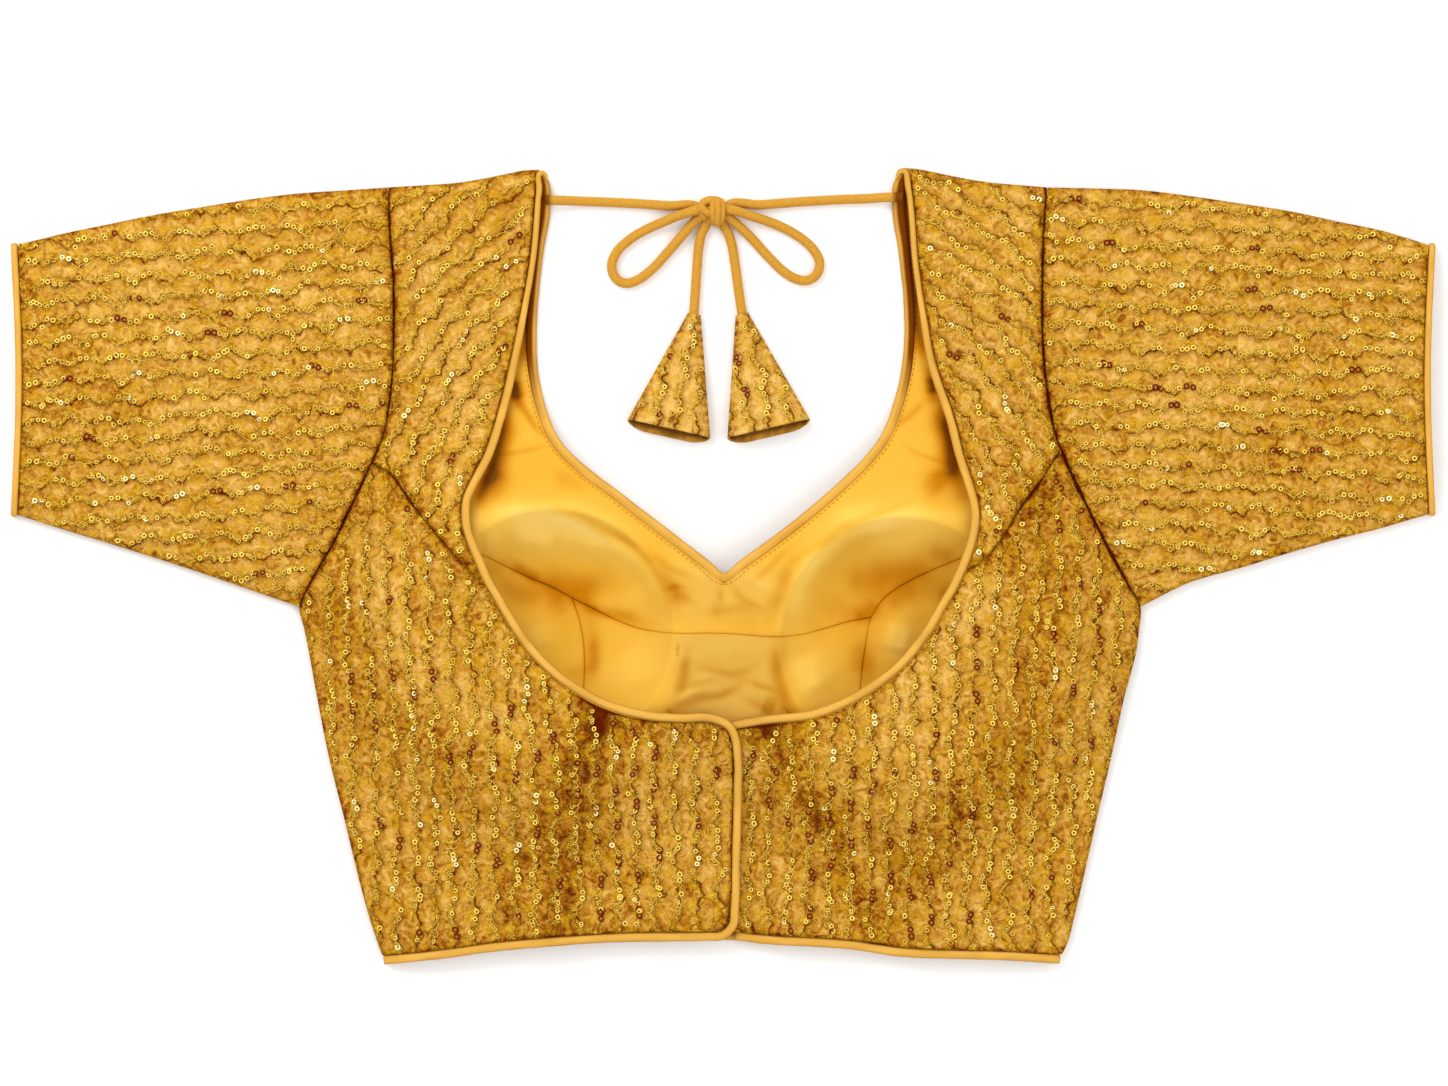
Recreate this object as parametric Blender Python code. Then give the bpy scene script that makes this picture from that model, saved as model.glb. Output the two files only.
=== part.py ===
"""Choli blouse laid flat with its back side up.

The frame is +X to the right, +Y towards the shoulders and +Z up from the surface it lies on.
Plan outlines and heights are in millimetres and turned into metres as each mesh is made.
The lower layer (front and lining) lies on the surface and rises over two padded cups; the upper
layer (back and yokes) spans them. Both are height functions over the plan, so layers stay clear.
"""
import math

import bmesh
import bpy
import numpy as np
from mathutils.geometry import delaunay_2d_cdt

MM = 0.001
SIDES = {"left": -1.0, "right": 1.0}

# Cloth and seams
SHELL = 1.2             # front cloth, thickness
LINING = 1.0            # satin lining, thickness
BACK = 1.4              # back and sleeve cloth, thickness
GAP = 0.3               # between pieces that touch
SEAM = GAP / 2          # what each panel gives up at a seam
SLEEVE_SEAM = 0.25      # what a sleeve gives up at the armhole
CORNER_CLEAR = 4.0      # no outline point this close to a panel's corner

# Cups
CUP_RADIUS = 63.0
CUP_HEIGHT = 22.0       # from the surface up to the rim
CUP_REST = 0.22         # share of the radius that lies flat on the surface
CUP_SPREAD = 66.0       # how far past the rim the cloth comes back down
CUP_BLEND = 4           # how tightly the two rims' rises are blended between the cups
PAD = 3.5               # padding under the lining at the middle of a cup
CUP_CENTRE = {"left": (-88.0, -33.0), "right": (93.0, -37.0)}
CUP_DEEP = {"left": (-78.0, -22.0), "right": (82.0, -28.0)}

# Space between the layers
CLOSED_SPACE = 0.3      # at side seams, shoulders and sleeve folds
BODY_SPACE = 6.8        # far from those, in the body and sleeves
STRAP_SPACE = 2.6       # in the shoulder straps
SPACE_REACH = 14.0      # how fast the layers part from a closed edge
STRAP_OUT, STRAP_IN = 170.0, 130.0      # the straps' closer layers set in between these
STRAP_LOW, STRAP_HIGH = 20.0, 90.0      # and up the body between these
FOLD_FADE = 30.0        # folds fade out this close to a closed edge
LAP_DROP = 4.4          # how far the right back dips under the left one
LAP_FROM, LAP_TO = 40.0, 13.0
LAP_END = -14.0         # hidden edge of the right back
LAP_TOP_DIP = 2.0       # how far that edge's upper end lies below the neckline's
LAP_LOW = -192.0        # its lower end

# Piping
PIPE_WIDTH = 4.4
NECK_PIPE_HEIGHT = 3.4
HEM_PIPE_HEIGHT = 2.2
CUFF_PIPE_HEIGHT = 2.0
PIPE_SIDES = 8
EDGE_INSET = PIPE_WIDTH + GAP           # of a panel whose outline is the piping's outer edge
NECK_INSET = PIPE_WIDTH / 2 + 1.5 * GAP     # of one whose outline is the piping's middle
FRONT_RISE = 1.0        # the front's hem stays just inside the back's

# Cord, knot and cones
CORD = 5.0
CORD_STEP = 4.0         # between points along it
CORD_LIE = 2.72         # height of the cord's middle where it lies
KNOT_CENTRE = (-5.2, 184.7, 6.0)
KNOT_HALF = (7.3, 7.7, 6.3)
KNOT_ROUND = 20
KNOT_RINGS = 11
KNOT_WRAPS = 3
KNOT_GROOVE = 0.09      # depth of the grooves between wraps, as a share of its size
CONE_WALL = 1.2
CONE_TOP_HALF = 4.0
CONE_MOUTH_HALF = 22.0
CONE_TOP_HEIGHT = 6.2
CONE_MOUTH_HEIGHT = 13.0
CONE_BELLY = 0.42       # share of the height at which a cone is widest
CONE_LIP = 3.0          # the lower lip reaches past the middle of the mouth, the upper one falls short
CONE_FLAT = 1.2         # above 1 the cone is pressed flat beneath
CONE_SQUARE = 0.9       # below 1 its sides are fuller than an oval's
CONE_STATIONS = 6
CONE_ROUND = 20

# Fineness of the meshes
EDGE_PITCH = 12.0       # between points along a panel's edge
NECK_PITCH = 8.0
SLEEVE_EDGE_PITCH = 6.0
CUP_PITCH = 13.0        # between points inside a panel, over the cups
CUP_MARGIN = 8.0        # how far outside the rims that pitch holds
BACK_PITCH = 16.0
WIDE_PITCH = 22.0
EDGE_CLEAR = 0.55       # an inner point stays this share of the pitch from the edge
FINE_CLEAR = 0.7        # and this share of the finer pitch from finer points
SLEEVE_STATIONS = 10
SLEEVE_ACROSS = 10
CURVE_STEPS = 24        # between two given points of a curve, before it is spaced evenly
STRAIGHT = 0.3          # sine of the turn below which two edges count as running on
SHARP_ANGLE = 50.0

# Outlines: rows of y, left x, right x (x as a distance from the middle)
SIDE_SEAM = (
    (-21.0, 220.0, 217.9), (-40.0, 216.0, 216.4), (-70.0, 210.5, 209.0), (-100.0, 204.5, 202.5),
    (-132.0, 196.5, 195.0), (-163.0, 189.0, 188.0), (-194.0, 180.0, 180.5), (-207.0, 174.8, 176.8),
)
ARMHOLE = (
    (197.2, 173.8, 169.2), (173.0, 172.6, 167.2), (147.0, 170.8, 166.6), (122.0, 170.6, 166.6),
    (90.0, 172.3, 169.2), (67.0, 176.5, 173.9), (52.0, 183.0, 180.0), (33.0, 192.0, 189.0),
    (10.0, 203.3, 200.5), (-9.0, 214.6, 211.0), (-21.0, 220.0, 217.9),
)
BACK_NECK = (           # middle of the piping
    (206.0, 94.0, 94.8), (191.0, 95.0, 97.2), (158.0, 98.0, 100.0), (129.0, 103.2, 104.4),
    (107.0, 107.8, 108.6), (76.0, 115.4, 118.8), (55.0, 122.4, 124.0), (44.0, 128.2, 127.6),
    (34.0, 132.4, 130.4), (23.0, 132.6, 131.2), (12.6, 129.8, 129.2), (2.0, 125.4, 125.4),
    (-8.7, 120.6, 120.8), (-19.0, 114.4, 114.8), (-30.0, 108.0, 108.6), (-40.5, 100.8, 101.3),
    (-51.0, 91.2, 92.2), (-62.0, 77.5, 78.2), (-72.0, 58.5, 60.5), (-76.6, 42.0, 47.0),
)
FRONT_NECK = (          # outer edge of the piping
    (204.0, 90.5, 90.0), (188.0, 89.2, 88.6), (167.0, 92.6, 91.5), (146.0, 95.2, 94.1),
    (125.0, 96.7, 95.2), (105.0, 96.3, 94.0), (84.0, 92.2, 89.2), (73.5, 88.6, 85.4),
    (63.0, 82.4, 79.6), (52.6, 71.8, 70.2), (42.2, 58.2, 59.4), (21.4, 31.2, 34.6),
)
NECK_POINT = (1.0, -3.0)
# Rows of distance from the middle, left y, right y
SHOULDER = (
    (172.0, 197.2, 197.2), (157.0, 198.2, 198.2), (136.0, 199.8, 200.2), (115.4, 203.5, 204.0),
    (100.0, 206.4, 207.0), (92.0, 206.8, 207.6),
)
HEM = (                 # lower edge of the piping
    (22.0, -195.0, -196.5), (45.0, -195.2, -197.7), (65.0, -196.0, -199.0), (93.0, -198.0, -203.0),
    (120.0, -200.5, -204.2), (145.0, -204.0, -204.8), (175.8, -207.3, -206.8),
)
SLEEVE_TOP = (
    (369.5, 167.4, 167.3), (345.0, 173.2, 174.8), (323.0, 177.6, 179.3), (297.0, 182.8, 184.9),
    (271.0, 187.0, 188.9), (245.0, 191.0, 192.8), (220.0, 194.0, 195.8), (193.5, 195.7, 196.7),
    (171.5, 197.2, 197.2),
)
SLEEVE_BOTTOM = (
    (369.5, 26.6, 27.0), (345.0, 19.0, 19.8), (323.0, 12.5, 14.3), (297.0, 4.6, 7.0),
    (271.0, -3.6, -1.0), (245.0, -12.4, -8.3), (219.0, -21.0, -21.0),
)
CUFF_BOW = 1.6          # how far the cuff's edge bends in at its middle
CUFF_REACH = {"left": 0.6, "right": 1.8}    # cuff edge beyond the sleeve tables' first row
LEFT_CENTRE = (         # middle of the piping round the left back's centre edge
    (-22.0, -78.6), (-5.5, -78.8), (2.4, -81.6), (6.4, -88.0), (8.2, -99.0), (8.2, -119.0),
    (7.4, -150.0), (6.6, -178.0), (5.4, -187.2), (1.0, -191.7), (-7.0, -192.5),
)
HEM_CORNER = -160.0     # about here the centre piping becomes as flat as the hem's
HEM_PRESS = 12.0        # over this far to each side
RIGHT_CENTRE = ((24.0, -79.4), (10.8, -81.6))
YOKE = {
    "left": ((-172.5, 48.5), (-164.6, 37.9), (-152.2, 21.3), (-139.7, 7.3), (-131.4, -2.3)),
    "right": ((162.0, 39.4), (153.9, 29.1), (143.7, 12.3), (134.1, 2.0)),
}
YOKE_AT_NECK = {"left": -12.0, "right": -5.0}
YOKE_AT_ARMHOLE = {"left": 53.4, "right": 61.0}
PRINCESS_AT_ARMHOLE = 34.5
PRINCESS_TOP = {
    "left": ((-191.2, 34.5), (-152.0, 16.5), (-125.0, 5.9), (-99.0, -6.5), (-86.0, -12.0),
             (-78.0, -16.5)),
    "right": ((188.3, 34.5), (152.0, 15.0), (124.5, 4.1), (105.3, -3.9), (94.6, -9.4),
              (84.1, -17.0), (77.5, -26.6)),
}
PRINCESS_LOW = {
    "left": ((-78.0, -16.5), (-73.5, -31.0), (-71.6, -46.0), (-72.0, -62.0), (-74.0, -121.0),
             (-76.5, -196.0)),
    "right": ((77.5, -26.6), (75.2, -38.0), (73.3, -51.0), (72.0, -66.0), (74.0, -121.0),
              (76.5, -200.0)),
}
UNDERBUST = (
    (-78.0, -16.5), (-68.0, -21.5), (-56.0, -27.5), (-40.6, -33.0), (-24.4, -34.7), (1.0, -34.8),
    (20.3, -36.2), (36.4, -36.3), (52.0, -32.8), (66.0, -28.8), (77.5, -26.6),
)

# Places read off the tables
ARM_TOP, ARM_LOW = ARMHOLE[0][0], ARMHOLE[-1][0]
NECK_TOP = BACK_NECK[0][0]
HEM_START, HEM_END = HEM[0][0], 175.6

# Folds of the upper layer: height (a trough is negative), half width, points
FOLDS = (
    (-2.6, 11.0, ((-62.0, -80.0), (-58.5, -98.0), (-57.5, -118.0), (-62.0, -140.0))),
    (1.8, 13.0, ((-82.0, -74.0), (-84.0, -110.0), (-88.0, -160.0), (-86.0, -196.0))),
    (-2.2, 12.0, ((57.0, -138.0), (66.0, -155.0), (73.0, -170.0), (84.0, -182.0), (82.0, -203.0))),
    (-2.6, 12.0, ((168.0, 36.0), (166.0, 10.0), (163.0, -44.0), (160.0, -96.0))),
    (1.8, 13.0, ((140.0, -30.0), (142.0, -90.0), (146.0, -150.0))),
    (1.8, 12.0, ((-178.0, 40.0), (-172.0, 10.0), (-160.0, -40.0), (-152.0, -90.0))),
    (-1.8, 12.0, ((-196.0, 12.0), (-192.0, -20.0), (-180.0, -60.0))),
    (-1.4, 14.0, ((-214.0, -10.0), (-240.0, 20.0), (-268.0, 60.0))),
    (-1.4, 14.0, ((212.0, -8.0), (238.0, 22.0), (266.0, 64.0))),
)

# The cord's route: rows of x, y, height of its middle
TIE = {
    "left": ((-92.0, 190.6, 6.8), (-88.0, 190.4, 6.6), (-82.0, 190.3, 5.0), (-74.0, 190.0, 3.1),
             (-63.0, 189.6, CORD_LIE), (-42.0, 188.6, CORD_LIE), (-27.0, 187.6, CORD_LIE),
             (-12.6, 186.9, CORD_LIE)),
    "right": ((94.0, 192.0, 6.8), (89.0, 192.0, 6.6), (83.0, 191.8, 5.0), (75.0, 191.3, 3.1),
              (66.0, 191.0, CORD_LIE), (41.0, 189.7, CORD_LIE), (20.0, 188.1, CORD_LIE),
              (2.2, 187.0, CORD_LIE)),
}
LOOP = {
    "left": ((-12.9, 185.2, 8.6), (-18.5, 183.7, 8.0), (-24.0, 181.8, 6.2), (-32.0, 178.5, 3.9),
             (-40.4, 174.7, CORD_LIE), (-48.6, 169.6, CORD_LIE), (-54.6, 163.8, CORD_LIE),
             (-57.5, 156.2, CORD_LIE), (-56.6, 151.8, CORD_LIE), (-53.7, 148.4, CORD_LIE),
             (-49.4, 147.2, CORD_LIE), (-44.8, 148.5, CORD_LIE), (-37.0, 154.0, CORD_LIE),
             (-28.6, 163.0, CORD_LIE), (-20.0, 173.0, 3.2), (-12.8, 181.2, 4.6)),
    "right": ((2.6, 185.8, 8.6), (8.0, 184.6, 8.0), (14.0, 182.6, 6.4), (22.0, 180.1, 4.2),
              (32.5, 175.9, CORD_LIE), (40.8, 171.0, CORD_LIE), (47.3, 165.2, CORD_LIE),
              (50.8, 158.2, CORD_LIE), (50.2, 153.6, CORD_LIE), (47.4, 150.0, CORD_LIE),
              (43.0, 148.6, CORD_LIE), (38.4, 149.6, CORD_LIE), (32.4, 153.1, CORD_LIE),
              (24.6, 160.6, CORD_LIE), (14.6, 171.5, 3.0), (8.5, 177.3, 3.8), (2.6, 182.2, 4.8)),
}
TAIL = {
    "left": ((-8.5, 177.6, CORD_LIE), (-10.8, 172.6, CORD_LIE), (-12.2, 165.2, CORD_LIE),
             (-13.2, 153.0, CORD_LIE), (-14.0, 141.0, CORD_LIE), (-14.8, 130.2, CORD_LIE)),
    "right": ((0.4, 177.8, CORD_LIE), (2.9, 174.0, CORD_LIE), (4.9, 168.0, CORD_LIE),
              (6.7, 157.5, CORD_LIE), (8.5, 144.5, CORD_LIE), (10.6, 130.2, CORD_LIE)),
}
CONE_TOP = {"left": (-14.8, 129.2), "right": (10.8, 129.2)}
CONE_MOUTH = {"left": (-27.6, 71.6), "right": (24.2, 71.6)}

# Colours of the cloths: name, red, green, blue, roughness
CLOTHS = {
    "sequin_net": (0.52, 0.27, 0.045, 0.55),
    "satin": (0.80, 0.44, 0.09, 0.35),
    "piping_satin": (0.72, 0.37, 0.06, 0.4),
}


# ---------------------------------------------------------------- curves

def curve_through(points, spacing):
    """Points about a spacing apart on a smooth curve through the given ones."""
    points = np.asarray(points, float)
    steps = np.linalg.norm(np.diff(points, axis=0), axis=1)
    rates = np.diff(points, axis=0) / steps[:, None]
    slopes = np.empty_like(points)
    slopes[0] = rates[0]
    slopes[-1] = rates[-1]
    before, after = steps[:-1, None], steps[1:, None]
    slopes[1:-1] = (rates[:-1] * after + rates[1:] * before) / (before + after)
    fine = []
    for i, step in enumerate(steps):
        t = np.linspace(0.0, 1.0, CURVE_STEPS, endpoint=False)[:, None]
        fine.append(
            (2 * t**3 - 3 * t**2 + 1) * points[i]
            + (t**3 - 2 * t**2 + t) * slopes[i] * step
            + (3 * t**2 - 2 * t**3) * points[i + 1]
            + (t**3 - t**2) * slopes[i + 1] * step
        )
    fine = np.vstack(fine + [points[-1:]])
    return respace(fine, spacing)


def respace(points, spacing):
    """The same line with its points evenly spaced."""
    along = np.concatenate([[0.0], np.cumsum(np.linalg.norm(np.diff(points, axis=0), axis=1))])
    count = max(1, round(along[-1] / spacing))
    places = np.linspace(0.0, along[-1], count + 1)
    return np.column_stack([np.interp(places, along, column) for column in points.T])


def thinned(points, turn=9.0, stride=24.0):
    """Drop points where the line hardly turns, keeping a point at least every stride."""
    kept = [0]
    for i in range(1, len(points) - 1):
        back = points[i] - points[kept[-1]]
        ahead = points[i + 1] - points[i]
        cosine = back @ ahead / (np.linalg.norm(back) * np.linalg.norm(ahead))
        turned = math.degrees(math.acos(min(1.0, max(-1.0, cosine))))
        if turned > turn / 2 or np.linalg.norm(back) > stride:
            kept.append(i)
    return points[kept + [len(points) - 1]]


def table_by_y(rows, side):
    """Plan points of a table whose rows are y, left x, right x."""
    column = 1 if side == "left" else 2
    return [(SIDES[side] * row[column], row[0]) for row in rows]


def table_by_x(rows, side):
    """Plan points of a table whose rows are x, left y, right y."""
    column = 1 if side == "left" else 2
    return [(SIDES[side] * row[0], row[column]) for row in rows]


def cut_at_y(points, high, low):
    """The stretch of a falling line between two heights, with both ends on them."""
    points = np.asarray(points, float)
    inside = [p for p in points if low + 0.5 < p[1] < high - 0.5]
    falling = points[::-1]
    ends = [(np.interp(y, falling[:, 1], falling[:, 0]), y) for y in (high, low)]
    return np.vstack([ends[0], *inside, ends[1]])


def offset_line(points, distance):
    """A line moved to its left by a distance, with its corners kept."""
    points = np.asarray(points, float)
    runs = np.diff(points, axis=0)
    runs /= np.linalg.norm(runs, axis=1)[:, None]
    normals = np.column_stack([-runs[:, 1], runs[:, 0]])
    moved = [points[0] + normals[0] * distance]
    for i in range(1, len(points) - 1):
        both = normals[i - 1] + normals[i]
        moved.append(points[i] + both * distance * 2 / (both @ both))
    moved.append(points[-1] + normals[-1] * distance)
    return np.array(moved)


def away(x, y, line):
    """Distance of each point from a line, in plan."""
    line = np.asarray(line, float)[:, :2]
    nearest = np.full(np.shape(x), 1e9)
    for start, end in zip(line[:-1], line[1:]):
        run = end - start
        share = ((x - start[0]) * run[0] + (y - start[1]) * run[1]) / (run @ run)
        share = np.clip(share, 0.0, 1.0)
        nearest = np.minimum(
            nearest, np.hypot(x - start[0] - share * run[0], y - start[1] - share * run[1])
        )
    return nearest


def eased(share):
    """A share from 0 to 1 with soft ends."""
    share = np.clip(share, 0.0, 1.0)
    return share * share * (3 - 2 * share)


CLOSED_EDGES = [
    curve_through(points, EDGE_PITCH)
    for side in SIDES
    for points in (
        table_by_y(SIDE_SEAM, side), table_by_x(SHOULDER, side),
        table_by_x(SLEEVE_TOP, side), table_by_x(SLEEVE_BOTTOM, side),
    )
]


# ---------------------------------------------------------------- heights

def cup_place(x, y, side):
    """Share of the way from a cup's deepest point to its rim, and distance outside the rim."""
    centre, deep = CUP_CENTRE[side], CUP_DEEP[side]
    outside = np.hypot(x - centre[0], y - centre[1]) - CUP_RADIUS
    dx, dy = x - deep[0], y - deep[1]
    far = np.maximum(np.hypot(dx, dy), 1e-6)
    along = ((deep[0] - centre[0]) * dx + (deep[1] - centre[1]) * dy) / far
    shift = (deep[0] - centre[0]) ** 2 + (deep[1] - centre[1]) ** 2
    reach = -along + np.sqrt(np.maximum(along**2 + CUP_RADIUS**2 - shift, 1.0))
    return far / reach, outside


def cup_lift(x, y):
    """Height that the rims of the two cups give the cloth round them."""
    total = 0.0
    for side in SIDES:
        outside = np.maximum(cup_place(x, y, side)[1], 0.0)
        total = total + np.maximum(0.0, 1 - (outside / CUP_SPREAD) ** 2) ** (2 * CUP_BLEND)
    return CUP_HEIGHT * total ** (1 / CUP_BLEND)


def front_under(x, y):
    """Underside of the front cloth: flat on the surface, raised round the cups."""
    height = cup_lift(x, y)
    for side in SIDES:
        share, outside = cup_place(x, y, side)
        bowl = np.clip((share - CUP_REST) / (1 - CUP_REST), 0.0, 1.0) ** 2
        height = np.where(outside < 0, height * bowl, height)
    return height


def front_over(x, y):
    """Upper face of the front cloth."""
    return front_under(x, y) + SHELL


def lining_under(x, y):
    """Underside of the lining."""
    return front_over(x, y) + GAP


def lining_over(x, y):
    """Upper face of the lining, with the padding of the cups beneath it."""
    padding = 0.0
    for side in SIDES:
        share = cup_place(x, y, side)[0]
        padding = padding + PAD * np.clip(1 - share**2, 0.0, 1.0)
    return lining_under(x, y) + LINING + padding


def space(x, y):
    """Space between the layers, closed at the seams and folds."""
    nearest = np.minimum.reduce([away(x, y, edge) for edge in CLOSED_EDGES])
    strap = eased((STRAP_OUT - np.abs(x)) / (STRAP_OUT - STRAP_IN))
    strap = strap * eased((y - STRAP_LOW) / (STRAP_HIGH - STRAP_LOW))
    full = BODY_SPACE + (STRAP_SPACE - BODY_SPACE) * strap
    return CLOSED_SPACE + full * (1 - np.exp(-nearest / SPACE_REACH))


def folds(x, y):
    """Main folds of the upper layer, fading out at the closed edges."""
    nearest = np.minimum.reduce([away(x, y, edge) for edge in CLOSED_EDGES])
    total = 0.0
    for height, width, points in FOLDS:
        total = total + height * np.exp(-((away(x, y, points) / width) ** 2))
    return total * eased(nearest / FOLD_FADE)


def back_under(x, y):
    """Underside of the back cloth and of the sleeves' upper layer."""
    stack = SHELL + GAP + LINING + GAP
    return cup_lift(x, y) + stack + space(x, y) + folds(x, y)


def back_over(x, y):
    """Upper face of the back cloth."""
    return back_under(x, y) + BACK


def lap_drop(x):
    """How far the right back lies below the left one where it is lapped."""
    return LAP_DROP * eased((LAP_FROM - x) / (LAP_FROM - LAP_TO))


def right_back_under(x, y):
    """Underside of the right back."""
    return back_under(x, y) - lap_drop(x)


def right_back_over(x, y):
    """Upper face of the right back."""
    return right_back_under(x, y) + BACK


# ---------------------------------------------------------------- meshes

def cloth(name):
    """A material with a cloth's colour and roughness."""
    material = bpy.data.materials.get(name) or bpy.data.materials.new(name)
    material.use_nodes = True
    shader = material.node_tree.nodes["Principled BSDF"]
    red, green, blue, roughness = CLOTHS[name]
    shader.inputs["Base Color"].default_value = (red, green, blue, 1.0)
    shader.inputs["Roughness"].default_value = roughness
    shader.inputs["Metallic"].default_value = 0.0
    return material


def make_object(name, points, faces, material):
    """An object from points in millimetres, its faces turned outwards."""
    mesh = bpy.data.meshes.new(name)
    mesh.from_pydata([tuple(c * MM for c in p) for p in points], [], [tuple(f) for f in faces])
    body = bmesh.new()
    body.from_mesh(mesh)
    bmesh.ops.recalc_face_normals(body, faces=body.faces)
    bmesh.ops.triangulate(body, faces=[f for f in body.faces if len(f.verts) > 4])
    body.to_mesh(mesh)
    body.free()
    mesh.shade_smooth()
    mesh.set_sharp_from_angle(angle=math.radians(SHARP_ANGLE))
    mesh.materials.append(cloth(material))
    made = bpy.data.objects.new(name, mesh)
    bpy.context.collection.objects.link(made)
    return made


def joined_outline(parts):
    """A closed outline from lines that run on, each with its own inset, as plan points."""
    points, insets = [], []
    for line, inset in parts:
        line = np.asarray(line, float)[:, :2]
        clear = [p for p in line[1:-1]
                 if min(np.hypot(*(p - line[0])), np.hypot(*(p - line[-1]))) > CORNER_CLEAR]
        points.extend([line[0], *clear])
        insets.extend([inset] * (1 + len(clear)))
    points, insets = np.array(points), np.array(insets)
    runs = np.roll(points, -1, axis=0) - points
    runs /= np.linalg.norm(runs, axis=1)[:, None]
    turning = np.sum(points[:, 0] * np.roll(points[:, 1], -1) - points[:, 1] * np.roll(points[:, 0], -1))
    inward = np.column_stack([-runs[:, 1], runs[:, 0]]) * (1 if turning > 0 else -1)
    moved = []
    for i in range(len(points)):
        one, other = inward[i - 1], inward[i]
        cross = one[0] * other[1] - one[1] * other[0]
        if abs(cross) < STRAIGHT:
            both = one + other
            both /= np.linalg.norm(both)
            moved.append(points[i] + both * max(insets[i - 1], insets[i]) / (both @ other))
            continue
        shift = np.linalg.solve(np.array([one, other]), np.array([insets[i - 1], insets[i]]))
        moved.append(points[i] + shift)
    moved = np.array(moved)
    return moved if turning > 0 else moved[::-1]


def inside_outline(x, y, outline):
    """Which points lie inside a closed outline."""
    within = np.zeros(np.shape(x), bool)
    for (x0, y0), (x1, y1) in zip(outline, np.roll(outline, -1, axis=0)):
        if y0 == y1:
            continue
        crosses = (y0 > y) != (y1 > y)
        within ^= crosses & (x < (x1 - x0) * (y - y0) / (y1 - y0) + x0)
    return within


def staggered_grid(pitch, outline):
    """Plan points in offset rows, clear of the outline's own points."""
    low, high = outline.min(axis=0), outline.max(axis=0)
    rise = pitch * math.sqrt(3) / 2
    first_row, last_row = math.floor(low[1] / rise), math.ceil(high[1] / rise)
    rows = []
    for row in range(first_row, last_row + 1):
        start = math.floor(low[0] / pitch) * pitch + (pitch / 2 if row % 2 else 0.0)
        xs = np.arange(start, high[0] + pitch, pitch)
        rows.append(np.column_stack([xs, np.full(len(xs), row * rise)]))
    grid = np.vstack(rows)
    keep = inside_outline(grid[:, 0], grid[:, 1], outline)
    keep &= away(grid[:, 0], grid[:, 1], np.vstack([outline, outline[:1]])) > EDGE_CLEAR * pitch
    return grid[keep]


def plan_triangles(outline, pitch, fine_pitch=None):
    """Triangles over an outline, finer over the cups if a fine pitch is given."""
    grid = staggered_grid(pitch, outline)
    if fine_pitch:
        fine = staggered_grid(fine_pitch, outline)
        reach = CUP_RADIUS + CUP_MARGIN
        near = np.zeros(len(fine), bool)
        far = np.ones(len(grid), bool)
        for centre in CUP_CENTRE.values():
            near |= np.hypot(*(fine - centre).T) < reach
            far &= np.hypot(*(grid - centre).T) > reach + FINE_CLEAR * fine_pitch
        grid = np.vstack([fine[near], grid[far]])
    points = np.vstack([outline, grid])
    ring = list(range(len(outline)))
    result = delaunay_2d_cdt([tuple(p) for p in points], [], [ring], 1, 1e-6)
    return np.array([tuple(v) for v in result[0]]), [tuple(face) for face in result[2]]


def wall(name, plan, under, over, material):
    """A cloth wall between two heights over a plan of triangles."""
    places, triangles = plan
    x, y = places.T
    count = len(places)
    points = np.vstack([
        np.column_stack([x, y, under(x, y)]), np.column_stack([x, y, over(x, y)])
    ])
    faces = [tuple(reversed(face)) for face in triangles]
    faces += [tuple(i + count for i in face) for face in triangles]
    uses = {}
    for face in triangles:
        for i, j in zip(face, face[1:] + face[:1]):
            uses[(i, j)] = uses.get((i, j), 0) + 1
    faces += [(i, j, j + count, i + count) for i, j in uses if (j, i) not in uses]
    return make_object(name, points, faces, material)


def rib(name, path, width, height, material, closed=False, across=None):
    """A strip of oval section along a path, its height one for all or one for each point.

    Its width lies level, or along a given direction.
    """
    path = np.asarray(path, float)
    heights = np.broadcast_to(height, len(path))
    if closed:
        ahead = np.roll(path, -1, axis=0) - np.roll(path, 1, axis=0)
    else:
        ahead = np.gradient(path, axis=0)
    ahead /= np.linalg.norm(ahead, axis=1)[:, None]
    angles = np.arange(PIPE_SIDES) * 2 * math.pi / PIPE_SIDES + math.pi / PIPE_SIDES
    points = []
    for place, direction, high in zip(path, ahead, heights):
        wide = np.cross(direction, (0, 0, 1)) if across is None else np.array(across, float)
        wide /= np.linalg.norm(wide)
        thick = np.cross(wide, direction)
        thick /= np.linalg.norm(thick)
        for angle in angles:
            points.append(
                place + wide * width / 2 * math.cos(angle) + thick * high / 2 * math.sin(angle)
            )
    faces = []
    rings = len(path)
    for ring in range(rings if closed else rings - 1):
        start, following = ring * PIPE_SIDES, (ring + 1) % rings * PIPE_SIDES
        for k in range(PIPE_SIDES):
            after = (k + 1) % PIPE_SIDES
            faces.append((start + k, start + after, following + after, following + k))
    if not closed:
        faces.append(tuple(range(PIPE_SIDES)))
        faces.append(tuple(range((rings - 1) * PIPE_SIDES, rings * PIPE_SIDES)))
    return make_object(name, points, faces, material)


# ---------------------------------------------------------------- front and lining

def seam(points):
    """A seam's line at the panels' edge pitch."""
    return curve_through(points, EDGE_PITCH)


def side_line(side):
    """The side seam from armpit to hem."""
    return seam(table_by_y(SIDE_SEAM, side))


def hem_line(side, start, end, rise=0.0):
    """The hem's lower edge between two distances from the middle."""
    rows = [row for row in HEM if start < row[0] < end]
    lefts, rights = (np.array([row[k] for row in HEM]) for k in (1, 2))
    far = np.array([row[0] for row in HEM])
    ends = [(d, np.interp(d, far, lefts), np.interp(d, far, rights)) for d in (start, end)]
    points = table_by_x([ends[0], *rows, ends[1]], side)
    return np.array(seam(points)) + (0.0, rise)


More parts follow.
